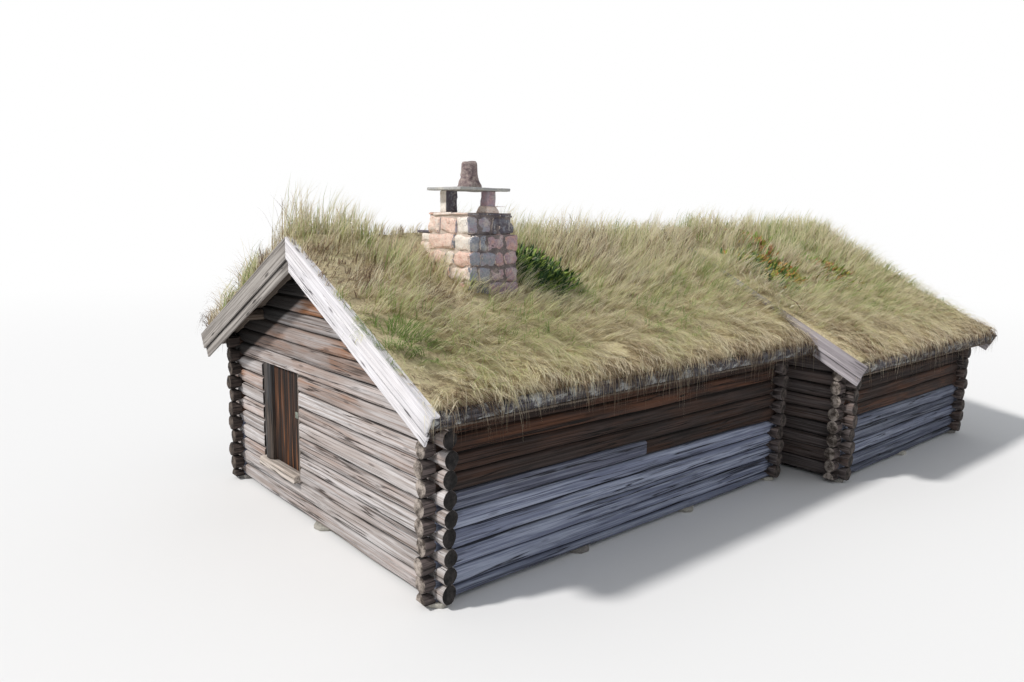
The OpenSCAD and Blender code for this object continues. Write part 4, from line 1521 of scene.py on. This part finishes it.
def tilted(piece, rng):
    """A stone turned by a little about its own middle, as it lies in its course"""
    places = [vertex.co for vertex in piece.data.vertices]
    middle = sum(places, Vector()) / len(places)
    lean = Matrix.Rotation(rng.uniform(-0.09, 0.09), 4, "Y")
    nod = Matrix.Rotation(rng.uniform(-0.09, 0.09), 4, "X")
    piece.data.transform(about(middle, lean @ nod))
    return piece


def stone_row(axis, stones, start, end, near, far, foot, top, rng, shaded_side_tone=None):
    """Stones side by side along an axis, between a near and a far face; the last argument is the tone
    painted on the corner stone's near side as its shade"""
    made = []
    place = start
    whole = sum(share for share, tone in stones)
    for share, tone in stones:
        width = (end - start) * share / whole
        low = [0, 0, foot + JOINT + rng.uniform(0, 0.014)]
        high = [0, 0, top - JOINT - rng.uniform(0, 0.014)]
        low[axis], high[axis] = place + JOINT, place + width - JOINT
        proud = rng.uniform(-0.012, 0.012)
        low[1 - axis], high[1 - axis] = near - proud, far + proud
        edge, rough = (0.038, 0.075) if top - foot > 0.1 else (0.01, 0.014)
        colour = partial(tone_of_side, tone, shaded_side_tone)
        made.append(tilted(stone(low, high, colour, rng, edge, rough, 3), rng))
        place += width
    return made


def stone_ring(low, high, front, side, rng):
    """One course of stones round the flue; the front and the back row take the corners"""
    foot, top = low.z, high.z
    near = low.y + STONE_DEPTH + rng.uniform(-0.05, 0.05)
    far = high.y - (STONE_DEPTH + rng.uniform(-0.05, 0.05))
    inner_left, inner_right = low.x + STONE_DEPTH, high.x - STONE_DEPTH
    made = stone_row(X, front, low.x, high.x, low.y, near, foot, top, rng, side[0][1])
    made += stone_row(X, side, low.x, high.x, far, high.y, foot, top, rng, side[-1][1])
    made += stone_row(Y, side[:2], near, far, inner_right, high.x, foot, top, rng)
    made += stone_row(Y, front[:2], near, far, low.x, inner_left, foot, top, rng)
    return made


def build_chimney():
    rng = random.Random(21)
    material = stone_finish(
        "chimney stones", "cfcac2", (0.04, "f6ede3"), (0.24, "ecd0c1"), (0.4, "dbaf9f"),
        (0.56, "b59aa3"), (0.75, "9fa4b0"), (0.95, "645f68"),
    )
    mortar = mortar_finish()
    low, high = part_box("chimney_stack")
    ledge_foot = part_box("chimney_shoulder")[1].z - LEDGE
    stones = []
    top = high.z
    for height, front, side in CHIMNEY_COURSES:
        far = Vector((high.x, high.y, top))
        if top > ledge_foot + 0.01:
            far -= Vector((STAND_BACK, STAND_BACK, 0))
        foot = top - height
        stones += stone_ring(Vector((low.x, low.y, foot)), far, front, side, rng)
        top = foot
    dress(join("chimney_stones", stones), material, "house", "masonry")
    core = copy_node("chimney_stack", "chimney_mortar")
    middle = Vector(((low.x + high.x - STAND_BACK) / 2, (low.y + high.y - STAND_BACK) / 2, high.z))
    core.data.transform(about(middle, Matrix.Diagonal((0.955, 0.945, 1, 1))))
    slice_across(core, Z, steps(low.z, high.z, 0.08))
    roughen(core, 0.02, 0.08)
    # Darker mortar on the near side: partly dirt, partly painted shade
    store(core, "tone", lambda centre, normal: 0.0 if normal.x > 0.5 else 1.0)
    dress(core, mortar, "house", "masonry", "chimney_stack")
    build_chimney_head(material, mortar, rng)
    dress_node("chimney_foot", mortar)


def build_chimney_head(material, mortar, rng):
    """The shoulder with its ledge, the two piers, the slab and the stone on it"""
    low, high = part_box("chimney_shoulder")
    under = high.z - LEDGE
    split = under - 0.12
    left = low.x + 0.08
    shoulder = [
        stone(Vector((left, low.y, low.z + 0.9)), Vector((high.x, high.y, split)), 0.14, rng),
        stone(Vector((left + 0.02, low.y, split)), Vector((high.x, high.y, under)), 0.05, rng),
        stone(Vector((low.x, low.y, under)), high, 0.97, rng, 0.01, 0.01),
    ]
    core = copy_node("chimney_shoulder", "shoulder_mortar")
    core.data.transform(about((low + high) / 2, Matrix.Diagonal((0.8, 0.93, 0.98, 1))))
    store(core, "tone", 0.8)
    dress(core, mortar, "house", "masonry", "chimney_shoulder")
    dress(join("shoulder_stones", shoulder), material, "house", "masonry")
    low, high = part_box("chimney_piers")
    between_piers = (low.x + high.x) / 2

    def pier_tone_and_shade(centre, normal):
        # Painted shade: the left pier's near side is near black and its other faces cream
        if centre.x < between_piers:
            return 0.96 if normal.x > 0.6 else 0.03
        return 0.16 if centre.z < low.z + 0.09 else 0.6

    piers = copy_node("chimney_piers", "pier_stones")
    wear_stone(piers, 0.04, 0.012, 0.024, pier_tone_and_shade)
    dress(piers, material, "house", "masonry", "chimney_piers")
    stops = ((0.1, "ddd3c0"), (0.5, "b1b1b0"), (0.9, "7f838c"))
    slab_stone = stone_finish("slab stone", "c9c5ba", *stops)
    low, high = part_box("chimney_slab")
    slab = stone(low, high, 0.5, rng, 0.008, 0.012, 8)
    dress(join("slab_flag", [slab]), slab_stone, "house", "slab_stone", "chimney_slab")
    stops = ((0.3, "c4b6ab"), (0.42, "8d7b7a"), (0.56, "52484c"))
    crown_stone = stone_finish("crown stone", "a39c94", *stops)
    crown = copy_node("chimney_crown", "crown_stone")
    wear_stone(crown, 0.045, 0.02, 0.045, 0.42)
    dress(crown, crown_stone, "house", "slab_stone", "chimney_crown")


set_camera()
set_light()
set_floor()
build_walls()
build_roofs()
build_roof_wood()
build_door()
build_floor()
build_foundation()
build_chimney()

bpy.context.scene.view_settings.view_transform = "Standard"
